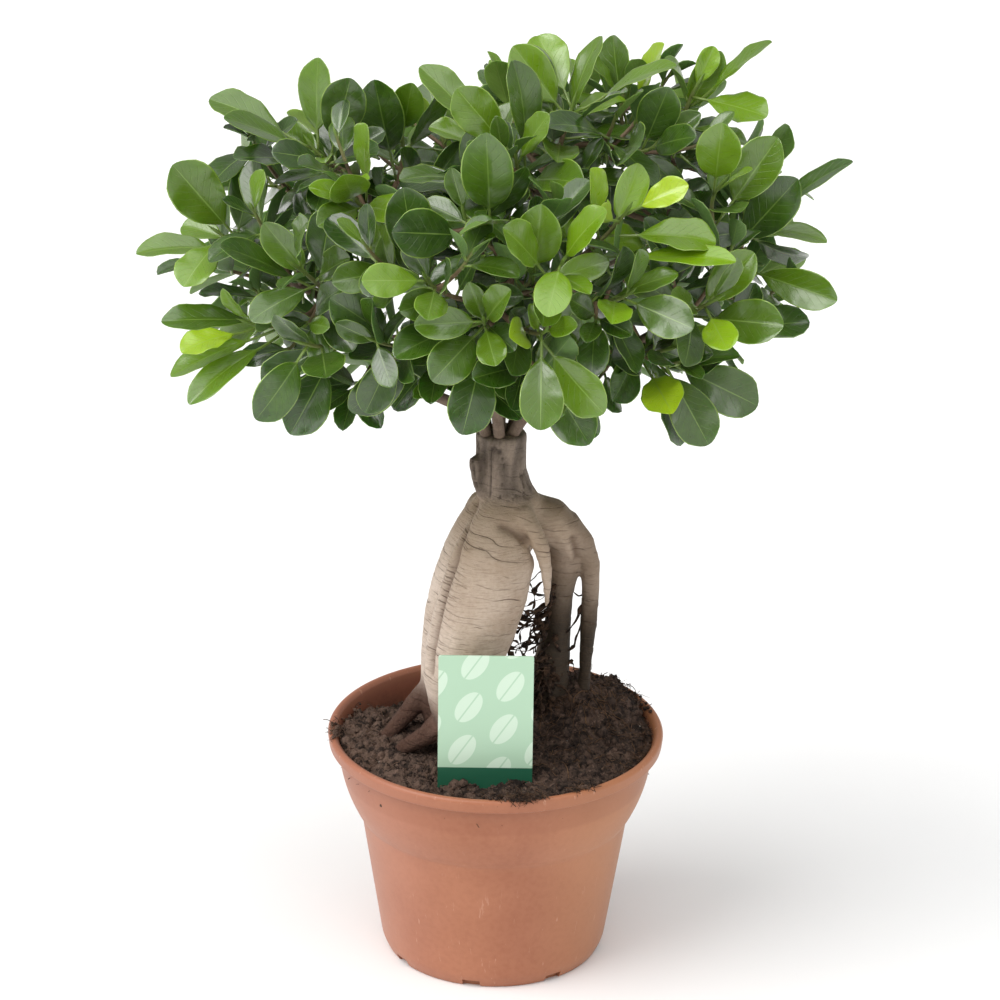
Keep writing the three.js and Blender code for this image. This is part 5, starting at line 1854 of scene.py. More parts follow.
class ShootReader:
    """Reads the stem and the leaves of one CAD shoot from its mesh."""

    STALK_SHARE = 0.15
    FIRST_RING = 0.93
    LEAF_EDGES_OF_TIP = 4
    RIB_GAP = 1.6 * MM
    STEM_SIDES = 3
    PARALLEL = 0.9
    LEAST_ARCH = 0.02

    def __init__(self, node: Object) -> None:
        """Joins the node's triangles and finds what belongs to leaves."""
        self.copy = merged_copy(node)
        self.copy.verts.index_update()
        self.leaves = [self.leaf_points(tip) for tip in self.tips()]
        self.leaf_set = {v.index for leaf in self.leaves for ring in leaf for v in ring}
        self.rings = self.stem_rings()

    @staticmethod
    def near(vertex: BMVert) -> list[BMVert]:
        """The vertices that share an edge with one."""
        return [e.other_vert(vertex) for e in vertex.link_edges]

    def rib_pair(self, ring: Sequence[BMVert]) -> list[BMVert] | None:
        """The two vertices of a ring that are a midrib's thickness apart."""
        pairs = ([one, other] for i, one in enumerate(ring) for other in ring[i + 1 :])
        return next((p for p in pairs if self.thin(*p) and p[1] not in self.near(p[0])), None)

    def thin(self, one: BMVert, other: BMVert) -> bool:
        """Whether two vertices are no more than a midrib's thickness apart."""
        return (one.co - other.co).length < self.RIB_GAP

    def tips(self) -> list[BMVert]:
        """The leaf tips: four edges, two of them to the midrib points of the last ring."""
        return [v for v in self.copy.verts if self.pointed(v) and self.ribbed(v)]

    def pointed(self, vertex: BMVert) -> bool:
        """Whether a vertex has as many edges as a leaf's tip."""
        return len(vertex.link_edges) == self.LEAF_EDGES_OF_TIP

    def ribbed(self, vertex: BMVert) -> bool:
        """Whether just two like vertices are next to one, a midrib's thickness apart."""
        four = [n for n in self.near(vertex) if self.pointed(n)]
        return len(four) == 2 and self.thin(*four)

    def leaf_points(self, tip: BMVert) -> list[list[BMVert]]:
        """A leaf's tip and its three rings, the stalk's last."""
        near = self.near(tip)
        return [[tip], near, *tube_levels(near, {tip.index}, 3)[1:]]

    def stem_rings(self) -> list[list[BMVert]]:
        """The stem's rings from the bud to the foot."""
        free = (v for v in self.copy.verts if v.index not in self.leaf_set)
        bud = next(v for v in free if len(v.link_edges) == self.STEM_SIDES)
        return tube_levels([bud], self.leaf_set)

    def spot(self, leaf: list[list[BMVert]]) -> LeafSpot:
        """The place and bend of one leaf.

        Args:
            leaf: Its tip and rings.

        Returns:
            The leaf's frame and sizes.
        """
        tip, _, middle_ring, stalk_ring = leaf
        end = tip[0].co.copy()
        origin = middle_of(stalk_ring)
        ribs = self.rib_pair(middle_ring)
        edges = [v for v in middle_ring if v not in ribs]
        sideways = (edges[1].co - edges[0].co).normalized()
        spine = middle_of(ribs)
        rise = middle_of(edges) - spine
        one, other = stalk_ring[0].co - origin, stalk_ring[1].co - origin
        if abs(one.normalized().dot(other.normalized())) > self.PARALLEL:
            other = stalk_ring[2].co - origin
        forward = one.cross(other).normalized()
        if forward.dot(spine - origin) < 0:
            forward = -forward
        sideways = (sideways - forward * sideways.dot(forward)).normalized()
        upward = sideways.cross(forward).normalized()
        if upward.dot(rise) < 0:
            upward, sideways = -upward, -sideways
        chord = end - origin
        half_arch = max(forward.angle(chord), self.LEAST_ARCH)
        blade = chord.length * half_arch / math.sin(half_arch)
        across = (edges[1].co - edges[0].co).length / 2
        half = math.hypot(across, rise.length) / self.FIRST_RING
        roots = {n.index for v in stalk_ring for n in self.near(v)} - self.leaf_set
        level = min(
            (i for i, ring in enumerate(self.rings) if roots & {v.index for v in ring}),
            default=len(self.rings),
        )
        return LeafSpot(
            origin=origin,
            forward=forward,
            upward=upward,
            sideways=sideways,
            tip=end,
            blade=blade,
            half=half,
            arch=2 * half_arch,
            fold=math.atan2(rise.length, across),
            age=level / len(self.rings),
            stalk=blade * self.STALK_SHARE / (1 - self.STALK_SHARE),
        )

    def stem(self) -> Stem:
        """The stem's centre line and radii from the bud's tip to the foot."""
        return centre_line(self.rings)


@dataclass(frozen=True)
class LeafGrid:
    """How finely a leaf is divided: rings along the blade, and places from midrib to edge."""

    rings: int
    half_row: tuple[float, ...]

    def mesh(self) -> Mesh:
        """A closed leaf whose points only know where on the leaf they are.

        Returns:
            A mesh with the attributes along (−1 stalk's root, 0 blade's foot, 1 tip), across
            (−1 to 1) and face (1 above, −1 below, 0 at the edge).
        """
        row = [-1.0, *(-v for v in reversed(self.half_row)), 0.0, *self.half_row]
        ring = [(v, 0.0 if v == -1.0 else 1.0) for v in row]
        ring += [(-v, 0.0 if v == -1.0 else -1.0) for v in row]
        stations = [-1.0, -0.6, -0.25, 0.0]
        stations += [(1 - math.cos(math.pi * (i + 1) / (self.rings + 1))) / 2 for i in range(self.rings)]
        spots = [(-1.0, 0.0, 0.0), *((s, v, f) for s in stations for v, f in ring), (1.0, 0.0, 0.0)]
        along, across, face = (list(values) for values in zip(*spots))
        faces = closed_faces(len(ring), len(stations), 1, len(spots) - 1)
        points = [Vector()] * len(spots)
        return mesh_of("leaf_blank", points, faces=faces, along=along, across=across, face=face)


class ShootMaker:
    """Makes leafy shoots from stem lines and leaf places, with one Geometry Nodes tree."""

    STEM_SIDES = 7
    STALK_RADIUS = 0.7 * MM

    def __init__(self, grid: LeafGrid, leaf: Material, stem: Material) -> None:
        """Makes the blank leaf and the tree.

        Args:
            grid: How finely the leaves are divided.
            leaf: The leaf's material.
            stem: The green stem's material.
        """
        self.blank = object_of("leaf_blank", grid.mesh())
        self.leaf, self.stem = leaf, stem
        self.tree = self.recipe()

    def recipe(self) -> NodeTree:
        """A leafy shoot: leaves laid along their arcs, and the stems that bear them."""
        inputs = {
            Kind.OBJECT: ["Blank"],
            Kind.COUNT: ["Stem Sides"],
            Kind.NUMBER: ["Stalk Radius"],
            Kind.MATERIAL: ["Leaf", "Stem"],
        }
        grown = Growth("leafy_shoot", inputs)
        inputs = {"Geometry": grown["Geometry"], "Selection": grown.carried("leafy")}
        parts = grown.node("GeometryNodeSeparateGeometry", inputs, domain="POINT")
        inputs = {"Points": grown.out(parts, "Selection"), "Instance": grown.shown("Blank")}
        leaves = grown.real(grown.value("GeometryNodeInstanceOnPoints", inputs))
        shaped = grown.moved(leaves, position=self.leaf_point(grown))
        stem = grown.tube(grown.out(parts, "Inverted"), grown["Stem Sides"], grown.carried("girth"))
        is_stem = 1.0 - grown.carried("leafy")
        return grown.finished(grown.joined(shaped, stem), grown["Leaf"], (is_stem, grown["Stem"]))

    @staticmethod
    def leaf_point(grown: Growth) -> Field:
        """The place of a leaf's point from where on the leaf it is.

        Args:
            grown: The tree.

        Returns:
            The position.
        """
        along, across, face = (grown.carried(name) for name in ("along", "across", "face"))
        blade, half, arch, fold, stalk, twist, chance, _ = map(grown.carried, LEAF_NUMBERS)
        origin, forward, upward, sideways, sag = (
            grown.carried(name, "FLOAT_VECTOR") for name in LEAF_VECTORS
        )
        radius = grown["Stalk Radius"]
        t = grown.math("MAXIMUM", along, 0.0)
        back = grown.math("MINIMUM", along, 0.0)
        bend = blade / arch
        sine, cosine = grown.swing(arch * t)
        spine = origin + forward * (bend * sine + back * stalk) + upward * (bend * (cosine - 1.0))
        spine = spine + sag * (back * back)
        raised = upward * cosine + forward * sine
        turn_sine, turn_cosine = grown.swing(twist * t)
        right = sideways * turn_cosine + raised * turn_sine
        top = raised * turn_cosine - sideways * turn_sine
        foot = chance * LEAF_FOOT[1] + LEAF_FOOT[0]
        widest = foot / (foot + LEAF_TIP)
        left_over = grown.math("MAXIMUM", 1.0 - t, 0.0)
        outline = (t / widest) ** foot * (left_over / (1.0 - widest)) ** LEAF_TIP
        width = half * outline * (1.0 - grown.step(t, LEAF_POINT[1], 1.0) * LEAF_POINT[0])
        stub = radius * (left_over**0.5)
        reach = grown.math("SQRT", width * width + stub * stub)
        flat = grown.step(t, 0.0, LEAF_FLAT)
        aside = abs(across)
        fold_sine, fold_cosine = grown.swing(fold)
        phase = (t * (1.6 + chance * 1.2) + chance * 7.0) * math.tau
        wave = grown.math("SINE", phase) * aside * aside * width * (0.03 + chance * 0.06)
        curl = (aside**1.5) * width * fold_sine
        side = across * reach * grown.between(1.0, fold_cosine, flat)
        round_height = radius * grown.math("SQRT", grown.math("MAXIMUM", 1.0 - across * across, 0.0))
        thick = (LEAF_THICK[0] - aside * LEAF_THICK[1]) * MM * ((1.0 - t**4.0) ** 0.5)
        height = grown.between(round_height, thick, flat) * face
        near_rib = grown.math("EXPONENT", (across / LEAF_RIB_WIDTH) ** 2.0 * -1.0)
        rib_depth = grown.between(*LEAF_RIB_DEPTH, 0.5 - face * 0.5) * MM
        rib = rib_depth * near_rib * (1.0 - t * 0.85) * flat * -1.0
        return spine + right * side + top * (curl * flat + wave * flat + height + rib)

    @staticmethod
    def skeleton(stems: Sequence[Stem], spots: Sequence[LeafSpot], name: str) -> Mesh:
        """Stem lines and leaf points in one mesh.

        Args:
            stems: Each stem's line from bud to foot, and its radii.
            spots: The leaves.
            name: The mesh's name.

        Returns:
            The mesh, with what the recipe reads.
        """
        lines = Lines()
        for places, radii in stems:
            last = len(places) - 1
            lines.add(places, radii, [i / last for i in range(last + 1)])
        bare, leaves = len(lines.points), [0.0] * len(spots)
        carried = {"leafy": [0.0] * bare + [1.0] * len(spots)}
        carried |= {"girth": lines.girth + leaves, "woody": lines.woody + leaves}
        for label in LEAF_NUMBERS:
            carried[label] = [0.0] * bare + [getattr(spot, label) for spot in spots]
        for label in LEAF_VECTORS:
            carried[label] = [Vector()] * bare + [getattr(spot, label) for spot in spots]
        return mesh_of(name, lines.points + [Vector()] * len(spots), lines.edges, **carried)

    def make(self, name: str, stems: Sequence[Stem], spots: Sequence[LeafSpot]) -> Object:
        """Makes one piece of stems and leaves."""
        shoot = object_of(name, self.skeleton(stems, spots, name))
        return grow(
            shoot,
            self.tree,
            blank=self.blank,
            stem_sides=self.STEM_SIDES,
            stalk_radius=self.STALK_RADIUS,
            leaf=self.leaf,
            stem=self.stem,
        )

    def close(self) -> None:
        """Removes the blank leaf."""
        bpy.data.objects.remove(self.blank)


@dataclass
class Crown:
    """The leafy shoots: every CAD leaf with its full outline, midrib, thickness and wave."""

    grid: LeafGrid = LeafGrid(15, (0.2, 0.65, 0.94))
    stem_fill: float = 0.85
    bud_shares: tuple[float, ...] = (0.0, 0.25, 0.55, 0.8)
    bud_girths: tuple[float, ...] = (0.08, 0.5, 1.0, 1.05)
    sink: float = 3.0
    true_blade: float = 31.0
    excess: float = 0.45
    roundest: float = 0.315
    young_share: float = 0.85
    fold_gain: float = 1.3
    twist: float = 0.25
    even_age: float = 0.45
    ageing: float = 0.5
    spread: float = 0.15
    youngest: float = 0.9
    margin: tuple[float, float, float] = (0.2, 0.2, 1.1)
    seed: int = 41
    shoot_youth: tuple[float, ...] = (
        0.35, 0.3, 0.25, 0.45, 0.05, 0.45, 0.3, 0.2, 0.3, 0.25, 0.25, 0.45,
        0.5, 0.15, 0.65, 0.3, 0.35, 0.45, 0.3, 0.35, 0.2, 0.35, 0.35, 0.1,
        0.05, 0.25, 0.3, 0.35, 0.35, 0.2, 0.25, 0.35, 0.35, 0.4, 0.3, 0.3,
        0.35, 0.3, 0.25, 0.1, 0.2, 0.1, 0.25, 0.05, 0.05, 0.05, 0.3,
    )
    young_leaves: Rows = (
        (-119, -45, 418, 0.9),
        (-152, -72, 348, 0.95),
        (-63, -60, 461, 0.7),
        (-100, -78, 443, 0.7),
        (-65, -116, 404, 0.6),
        (-27, -128, 420, 0.75),
        (20, 30, 480, 0.7),
        (40, -86, 450, 0.9),
        (87, -86, 442, 1.0),
        (42, -114, 432, 0.8),
        (110, -90, 405, 0.75),
        (102, -68, 468, 0.55),
        (4, -116, 441, 0.7),
        (51, -126, 387, 0.75),
        (3, -130, 382, 0.95),
        (2, -134, 364, 0.85),
        (82, -106, 334, 1.0),
        (106, -110, 369, 0.9),
        (78, 20, 477, 0.95),
    )
    matching: float = 3.0

    def bud_and_foot(self, places: list[Vector], radii: list[float]) -> Stem:
        """Shapes the pointed end bud and sinks the foot into its branch.

        Args:
            places: The stem's line from the bud's tip.
            radii: Its radii.

        Returns:
            Both with the bud's own points and the foot drawn out.
        """
        tip, neck = places[0], places[1]
        bud = [tip.lerp(neck, share) for share in self.bud_shares]
        girth = [radii[1] * share for share in self.bud_girths]
        foot = places[-1] + (places[-1] - places[-2]).normalized() * self.sink * MM
        line = bud + places[1:] + [foot]
        rest = [r * self.stem_fill for r in radii[1:]]
        return line, [g * self.stem_fill for g in girth] + rest + [rest[-1]]

    def build(self, maker: ShootMaker) -> tuple[list[LeafSpot], list[list[Vector]]]:
        """Makes each leafy shoot and settles it in place of its CAD node.

        Args:
            maker: Makes the shoots' meshes.

        Returns:
            All leaves, and each stem's line from bud to foot.
        """
        draw = random.Random(self.seed)
        low, high = (Vector(corner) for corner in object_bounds())
        room = Vector(self.margin) * MM
        leaves, stems = [], []
        for i, name in enumerate(sorted(n for n in frame["nodes"] if n.startswith("shoot"))):
            reader = ShootReader(frame["nodes"][name])
            spots = sorted(map(reader.spot, reader.leaves), key=lambda s: round(s.tip.z, 5))
            for spot in spots:
                spot.chance = draw.random()
                spot.twist = draw.uniform(-self.twist, self.twist)
                spot.fold *= self.fold_gain
                rule = self.shoot_youth[i] + (self.even_age - spot.age) * self.ageing
                rule += draw.uniform(-self.spread, self.spread)
                spot.youth = self.youth_at(spot.tip, min(max(rule, 0.0), 1.0))
                spot.draw_in(self.blade_of(spot), self.roundest)
                spot.bring_in(low + room, high - room)
            line, radii = reader.stem()
            reader.copy.free()
            stem = self.bud_and_foot(line, radii)
            shoot = maker.make(name.replace("shoot", "leafy_shoot"), [stem], spots)
            settle(shoot, Slot.LEAF, name)
            leaves += spots
            stems.append(line)
        return leaves, stems

    def blade_of(self, spot: LeafSpot) -> float:
        """How long a leaf's blade really grows: much of what the CAD blade has in excess is stalk."""
        true = self.true_blade * MM
        blade = spot.blade if spot.blade < true else true + (spot.blade - true) * self.excess
        return blade * (self.young_share if spot.youth >= self.youngest else 1.0)

    def youth_at(self, tip: Vector, rule: float) -> float:
        """The youth of a leaf: that of the young leaf listed at its tip, or the rule's."""
        away = ((tip - Vector(young[:3]) * MM).length for young in self.young_leaves)
        found = (y[3] for y, a in zip(self.young_leaves, away) if a < self.matching * MM)
        return next(found, rule)


class Crowding:
    """Knows which parts of the crown leaves already fill, by points spread over them."""

    def __init__(self, clearance: float) -> None:
        """Keeps the distance that leaves stay apart, which is also the size of its cells."""
        self.clearance = clearance
        self.cells: dict[tuple[int, int, int], list[Vector]] = {}
        self.count = 0

    def cell(self, place: Vector) -> tuple[int, int, int]:
        """The cell that a place is in."""
        return tuple(math.floor(c / self.clearance) for c in place)

    def add(self, places: Iterable[Vector]) -> None:
        """Adds points that are now filled."""
        for place in places:
            self.cells.setdefault(self.cell(place), []).append(place)
            self.count += 1

    def taken(self, place: Vector, distance: float) -> bool:
        """Whether a filled point is nearer than a distance, which is at most the clearance."""
        around = product(*((c - 1, c, c + 1) for c in self.cell(place)))
        near = (other for key in around for other in self.cells.get(key, ()))
        return any((other - place).length < distance for other in near)

    def tree(self) -> KDTree:
        """All filled points, ready for finding the nearest."""
        tree = KDTree(self.count)
        for index, place in enumerate(p for places in self.cells.values() for p in places):
            tree.insert(place, index)
        tree.balance()
        return tree


@dataclass
class SideShoots:
    """Short leafy side shoots that fill the crown between the main shoots, grown by a rule.

    Each starts on a branch or a stem, ends where the crown is emptiest, and bears leaves at
    golden-angle steps. A leaf is kept only where it is clear of every other.
    """

    grid: LeafGrid = LeafGrid(7, (0.35, 0.9))
    rounds: int = 700
    drawn: int = 24
    reach: Pair = (10.0, 50.0)
    leaves: Span = (6, 10)
    fewest: int = 4
    length: Pair = (27.0, 42.0)
    slimness: Pair = (0.21, 0.265)
    pitch: Pair = (26.0, 82.0)
    pitch_spread: float = 7.0
    arch: Pair = (0.1, 0.6)
    fold: Pair = (0.14, 0.44)
    twist: Pair = (-0.25, 0.25)
    golden: float = 137.5
    internode: float = 3.1
    attempts: int = 4
    apart: float = 2.4
    stem_room: float = 1.6
    clearance: float = 3.0
    gap: float = 5.5
    company: int = 45
    company_reach: float = 38.0
    cover: int = 7
    cover_reach: float = 24.0
    margin: float = 4.0
    girth: Pair = (0.75, 1.15)
    middle: Place = (0.0, 0.0, 345.0)
    lowest: float = 318.0
    seed: int = 17

    draw: random.Random = field(init=False)
    crowding: Crowding = field(init=False)
    envelope: KDTree = field(init=False)
    box: tuple[Vector, Vector] = field(init=False)

    def __post_init__(self) -> None:
        """Starts the random numbers, with no leaves yet."""
        self.draw = random.Random(self.seed)
        self.crowding = Crowding(self.clearance * MM)

    def outward(self, place: Vector) -> Vector:
        """The direction from the crown's middle to a place."""
        return (place - Vector(self.middle) * MM).normalized()

    def covered(self, place: Vector) -> bool:
        """Whether enough of the main shoots' leaves lie further out than a place."""
        outward = self.outward(place)
        near = self.envelope.find_range(place, self.cover_reach * MM)
        return sum((other - place).dot(outward) > 0.0 for other, _, _ in near) >= self.cover

    def boxed(self, place: Vector, room: float) -> bool:
        """Whether a place is inside the model's box, with some room."""
        return all(a + room < c < b - room for a, c, b in zip(self.box[0], place, self.box[1]))

    @staticmethod
    def starts(branches: list[Lines], stems: list[list[Vector]]) -> list[tuple[int, Vector]]:
        """Places that a side shoot may start from.

        Args:
            branches: The grafted branches' lines.
            stems: The main shoots' lines from bud to foot.

        Returns:
            Number of the branch and place.
        """
        lines = [(number, branch.points) for number, branch in enumerate(branches)]
        for stem in stems:
            away = [min((place - stem[-1]).length for place in branch.points) for branch in branches]
            lines.append((away.index(min(away)), stem))
        return [(number, place) for number, line in lines for place in line[len(line) // 3 :]]

    def target(self, starts: list[tuple[int, Vector]], filled: KDTree) -> tuple[int, Vector, Vector] | None:
        """Where the next shoot starts and ends: the emptiest of some random places.

        Args:
            starts: Places to start from.
            filled: All filled points.

        Returns:
            Number of the branch, start and end, or nothing where no place will do.
        """
        best, widest = None, self.gap * MM
        for _ in range(self.drawn):
            number, start = starts[self.draw.randrange(len(starts))]
            heading = self.outward(start) * 0.8 + UP * 0.4 + jitter(self.draw, 0.75)
            end = start + heading.normalized() * self.draw.uniform(*self.reach) * MM
            if not self.boxed(end, 2.0 * self.margin * MM) or end.z < self.lowest * MM:
                continue
            company = len(self.envelope.find_range(end, self.company_reach * MM))
            empty = filled.find(end)[2]
            if company >= self.company and empty > widest:
                best, widest = (number, start, end), empty
        return best

    def leaf(self, root: Vector, heading: Vector, share: float, turn: float) -> LeafSpot:
        """One leaf by the rule.

        Args:
            root: Where it leaves the stem.
            heading: The stem's direction.
            share: 0 for the youngest leaf at the tip, 1 for the oldest.
            turn: Its angle round the stem.

        Returns:
            The leaf.
        """
        draw = self.draw
        across = heading.orthogonal().normalized()
        radial = across * math.cos(turn) + heading.cross(across) * math.sin(turn)
        low, high = self.pitch
        pitch = math.radians(low + (high - low) * share + draw.gauss(0.0, self.pitch_spread))
        forward = (heading * math.cos(pitch) + radial * math.sin(pitch)).normalized()
        facing = heading * 0.7 + UP * 0.55 + jitter(draw, 0.15)
        upward = (facing - forward * facing.dot(forward)).normalized()
        length = draw.uniform(*self.length) * (0.62 + 0.38 * min(share * 2.0, 1.0)) * MM
        stalk = length * ShootReader.STALK_SHARE
        blade = length - stalk
        return LeafSpot(
            origin=root + forward * stalk,
            forward=forward,
            upward=upward,
            sideways=forward.cross(upward),
            tip=root + forward * length,
            blade=blade,
            half=length * draw.uniform(*self.slimness),
            arch=draw.uniform(*self.arch),
            fold=draw.uniform(*self.fold),
            age=share,
            youth=min(max(0.12 + (0.4 - share) * 0.5 + draw.gauss(0.0, 0.16), 0.0), 1.0),
            chance=draw.random(),
            twist=draw.uniform(*self.twist),
            stalk=stalk,
        )

    def fits(self, points: list[Vector], others: list[Vector]) -> bool:
        """Whether a leaf is inside the box and clear of all other leaves.

        Args:
            points: Points spread over the leaf.
            others: Points of the same shoot's leaves.

        Returns:
            True where the leaf has room.
        """
        if not all(self.boxed(point, self.margin * 0.5 * MM) for point in points):
            return False
        if any(self.crowding.taken(point, self.clearance * MM) for point in points):
            return False
        return all((p - q).length > self.apart * MM for p in points[6:] for q in others)

    def shoot(self, start: Vector, end: Vector) -> tuple[Stem, list[LeafSpot]] | None:
        """One side shoot, or nothing where too few leaves find room.

        Args:
            start: Where its stem starts.
            end: Where its stem ends.

        Returns:
            The stem from bud to foot with its radii, and the leaves.
        """
        draw, span = self.draw, end - start
        lean = (span.normalized() + UP * draw.uniform(0.1, 0.6)).normalized()
        knee = end - lean * span.length * 0.45
        line = [bent(start, knee, end, share) for share in (0.0, 0.2, 0.4, 0.6, 0.8, 1.0)]
        if any(self.crowding.taken(place, self.stem_room * MM) for place in line[2:5]):
            return None
        count, first = draw.randint(*self.leaves), draw.uniform(0.0, math.tau)
        kept: list[LeafSpot] = []
        kept_points: list[Vector] = []
        for k in range(count):
            root = end - lean * (2.0 + k * self.internode) * MM
            for attempt in range(self.attempts):
                turn = first + math.radians(self.golden) * k + draw.gauss(0.0, 0.12 + 0.15 * attempt)
                spot = self.leaf(root, lean, k / (count - 1), turn)
                points = spot.samples()
                if self.covered(spot.tip) and self.fits(points, kept_points):
                    kept.append(spot)
                    kept_points += points[6:]
                    break
            if not kept:
                return None
        if len(kept) < self.fewest:
            return None
        thin, thick = (g * MM for g in self.girth)
        bud = end + lean * 5.0 * MM
        back = [bud, bud.lerp(end, 0.3), bud.lerp(end, 0.65), *reversed(line)]
        radii = [thin * 0.1, thin * 0.8, thin * 1.05]
        radii += [thin + (thick - thin) * i / (len(line) - 1) for i in range(len(line))]
        return (back, radii), kept

    def fill(self, leaves: Iterable[LeafSpot]) -> KDTree:
        """Marks leaves' places as filled, and gives all filled points."""
        for spot in leaves:
            self.crowding.add(spot.samples())
        return self.crowding.tree()

    def build(
        self,
        maker: ShootMaker,
        branches: list[Lines],
        leaves: list[LeafSpot],
        stems: list[list[Vector]],
    ) -> None:
        """Grows the side shoots, one piece for each grafted branch.

        Args:
            maker: Makes the shoots' meshes.
            branches: The grafted branches' lines.
            leaves: The main shoots' leaves.
            stems: The main shoots' lines.
        """
        self.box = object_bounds()
        self.envelope = filled = self.fill(leaves)
        starts = self.starts(branches, stems)
        grown: dict[int, tuple[list[Stem], list[LeafSpot]]] = {}
        for _ in range(self.rounds):
            target = self.target(starts, filled)
            made = target and self.shoot(*target[1:])
            if not made:
                continue
            filled = self.fill(made[1])
            lines, kept = grown.setdefault(target[0], ([], []))
            lines.append(made[0])
            kept += made[1]
        total, borne = (sum(len(pair[i]) for pair in grown.values()) for i in range(2))
        log.info("side shoots: %d with %d leaves", total, borne)
        for number, (lines, kept) in sorted(grown.items()):
            settle(maker.make(f"side_shoots_{number + 1}", lines, kept), Slot.LEAF)


@dataclass
class PlantCard:
    """The stiff card that stands in the soil: rounded corners and softened edges."""

    node: str = "label"
    corner: float = 1.0
    edge: float = 0.15
    sharp: float = 50.0
    steps: int = 6

    def build(self, card: Material) -> None:
        """Makes the card in its CAD node's box and settles it there.

        Args:
            card: The card's material.
        """
        low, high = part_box(self.node)
        corner = self.corner * MM
        left, right, top, foot = low.x + corner, high.x - corner, high.z - corner, low.z + corner
        outline = []
        for i, (x, z) in enumerate(((right, top), (left, top), (left, foot), (right, foot))):
            turns = (math.pi * (i + k / self.steps) / 2 for k in range(self.steps + 1))
            outline += [(x + corner * math.cos(turn), z + corner * math.sin(turn)) for turn in turns]
        count = len(outline)
        points = [(x, y, z) for y in (low.y, high.y) for x, z in outline]
        faces = [tuple(reversed(range(count))), tuple(range(count, 2 * count))]
        faces += [(k, (k + 1) % count, count + (k + 1) % count, count + k) for k in range(count)]
        label = object_of("plant_card", mesh_of("plant_card", points, faces=faces))
        bevel = put(label.modifiers.new("soft_edge", "BEVEL"), width=self.edge * MM, segments=2)
        put(bevel, limit_method="ANGLE", angle_limit=math.radians(self.sharp))
        grow(label)
        coat(label, card)
        fix = bmesh.new()
        fix.from_mesh(label.data)
        bmesh.ops.recalc_face_normals(fix, faces=fix.faces)
        fix.to_mesh(label.data)
        fix.free()
        settle(label, Slot.CARD, self.node)


def aim(azimuth: float, height: float) -> Vector:
    """The direction at an azimuth, to the right of +Y, and a height above level, both in degrees."""
    turn, rise = math.radians(azimuth), math.radians(height)
    return Vector((math.sin(turn) * math.cos(rise), math.cos(turn) * math.cos(rise), math.sin(rise)))


@dataclass(frozen=True)
class Sun:
    """A soft even light: where it comes from, how strong and how wide it is."""

    name: str
    azimuth: float
    height: float
    strength: float
    width: float
    colour: Colour


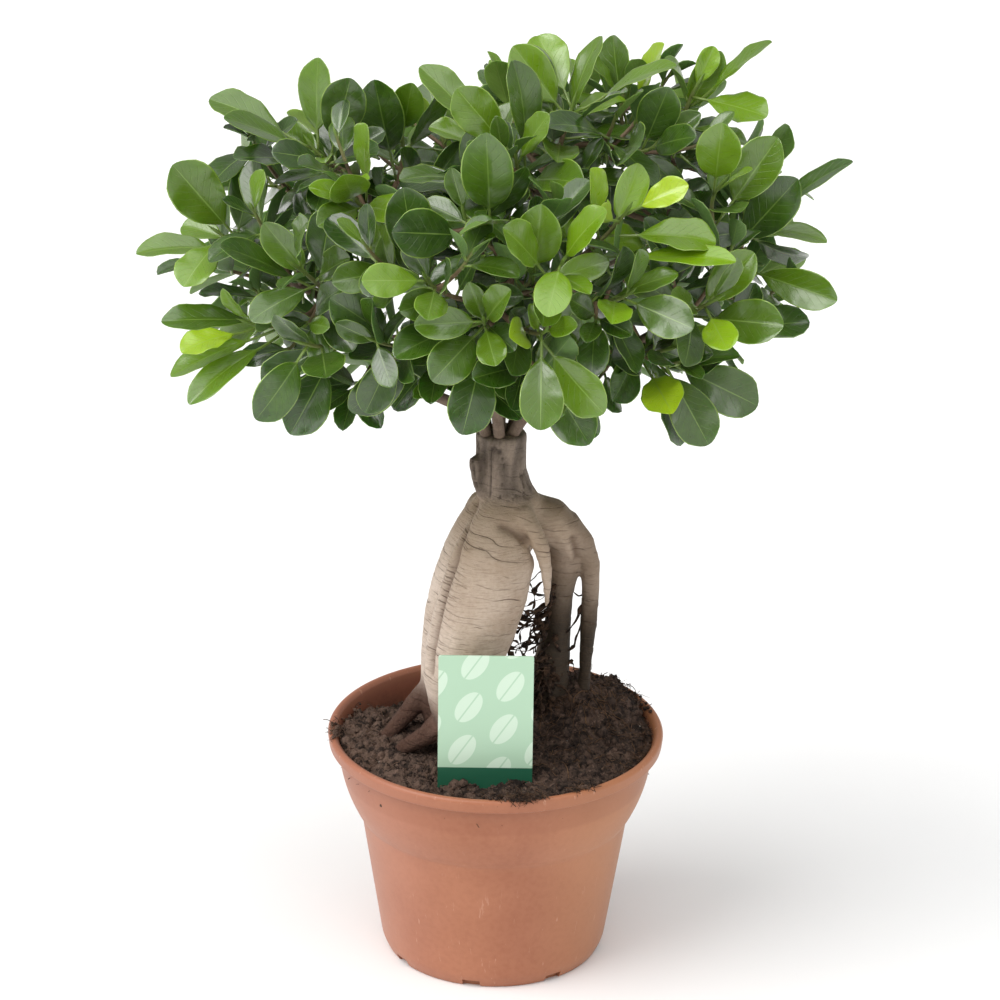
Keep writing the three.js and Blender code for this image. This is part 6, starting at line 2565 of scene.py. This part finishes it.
@dataclass
class Studio:
    """Pale floor, soft even lights and the camera at the photo's angle."""

    camera_place: tuple[float, float, float] = (0.0, -2.2517, 1.2061)
    pitch: float = 23.113
    yaw: float = 0.018
    roll: float = 0.757
    focal_share: float = 4.9273
    sensor: float = 36.0
    floor_size: float = 60.0
    floor_colour: Colour = (0.9, 0.9, 0.9)
    world_colour: Colour = (1.0, 1.0, 1.0)
    world_strength: float = 0.42
    suns: tuple[Sun, ...] = (
        Sun("key_light", -64.0, 44.0, 2.1, 50.0, (1.0, 0.99, 0.975)),
        Sun("top_light", 0.0, 74.0, 1.55, 70.0, (1.0, 1.0, 1.0)),
        Sun("fill_light", 40.0, 28.0, 0.45, 60.0, (1.0, 1.0, 1.0)),
    )

    def place_camera(self) -> None:
        """Makes the camera and the scene's active one."""
        data = put(bpy.data.cameras.new("camera"), sensor_width=self.sensor, clip_start=0.05, clip_end=50.0)
        camera = object_of("camera", put(data, lens=self.focal_share * self.sensor))
        ahead = aim(self.yaw, -self.pitch)
        roll = Quaternion((0.0, 0.0, 1.0), math.radians(self.roll))
        put(camera, location=self.camera_place, rotation_mode="QUATERNION")
        camera.rotation_quaternion = ahead.to_track_quat("-Z", "Y") @ roll
        bpy.context.scene.camera = camera

    @staticmethod
    def shine(sun: Sun) -> None:
        """Makes one of the lights.

        Args:
            sun: What it is like. Its azimuth is 0 at the viewer's side and grows to the right.
        """
        data = bpy.data.lights.new(sun.name, "SUN")
        put(data, energy=sun.strength, angle=math.radians(sun.width), color=sun.colour)
        source = aim(sun.azimuth, sun.height)
        source.y = -source.y
        light = put(object_of(sun.name, data), rotation_mode="QUATERNION", location=source * 3.0)
        light.rotation_quaternion = (-source).to_track_quat("-Z", "Y")

    def build(self) -> None:
        """Sets up the floor, the lights, the world and the camera."""
        half = self.floor_size / 2
        corners = [(-half, -half, 0.0), (half, -half, 0.0), (half, half, 0.0), (-half, half, 0.0)]
        floor = object_of("floor", mesh_of("floor", corners, faces=[(0, 1, 2, 3)]))
        coat(floor, plain_finish("pale_floor", self.floor_colour, 0.7))
        floor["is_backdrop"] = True
        for sun in self.suns:
            self.shine(sun)
        scene = bpy.context.scene
        scene.world = put(scene.world or bpy.data.worlds.new("world"), use_nodes=True)
        background = scene.world.node_tree.nodes["Background"]
        background.inputs["Color"].default_value = (*self.world_colour, 1.0)
        background.inputs["Strength"].default_value = self.world_strength
        self.place_camera()
        scene.view_settings.view_transform = "Standard"


def main() -> None:
    logging.basicConfig(level=logging.INFO, format="%(name)s: %(message)s")
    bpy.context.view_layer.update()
    Studio().build()
    effects = Effects()
    NurseryPot().build(PotFinish().material(effects))
    peat = PeatFinish("peat", srgb(100, 80, 69), srgb(32, 25, 22)).material(effects)
    fibre = PeatFinish("peat_fibre", srgb(112, 84, 64), srgb(52, 37, 29)).material(effects)
    tan = PeatFinish("tan_fibre", srgb(128, 98, 72), srgb(84, 61, 45)).material(effects)
    # The white grains' darker grey, also used for their painted shade.
    chalk, chalk_grey_and_shade = srgb(232, 228, 220), srgb(190, 182, 170)
    white = PeatFinish("white_grain", chalk, chalk_grey_and_shade, chalk, chalk_grey_and_shade).material(effects)
    hair = PeatFinish("root_hair", srgb(84, 62, 46), srgb(36, 27, 22)).material(effects)
    bed = PeatBed().build(peat)
    finishes = {
        "peat_crumbs": peat,
        "peat_clods": peat,
        "peat_fibres": fibre,
        "tan_fibres": tan,
        "white_grains": white,
    }
    LitterLayer().build(bed, finishes)
    LooseRootlets().build(bed, tan)
    roots = Rootstock().build(RootFinish().material(effects))
    RootHairs().build(roots, hair)
    bark = TwigFinish("branch_bark", srgb(128, 108, 88), srgb(92, 74, 60), srgb(146, 126, 106))
    branches = Scions().build(bark.material(effects))
    leaf = LeafFinish().material(effects)
    green = TwigFinish("green_stem", srgb(106, 132, 56), srgb(112, 90, 70), srgb(150, 128, 98), 0.6)
    stem = green.material(effects)
    maker = ShootMaker(Crown.grid, leaf, stem)
    leaves, stems = Crown().build(maker)
    maker.close()
    maker = ShootMaker(SideShoots.grid, leaf, stem)
    SideShoots().build(maker, branches, leaves, stems)
    maker.close()
    PlantCard().build(CardFinish().material(effects))


if __name__ == "__main__":
    main()
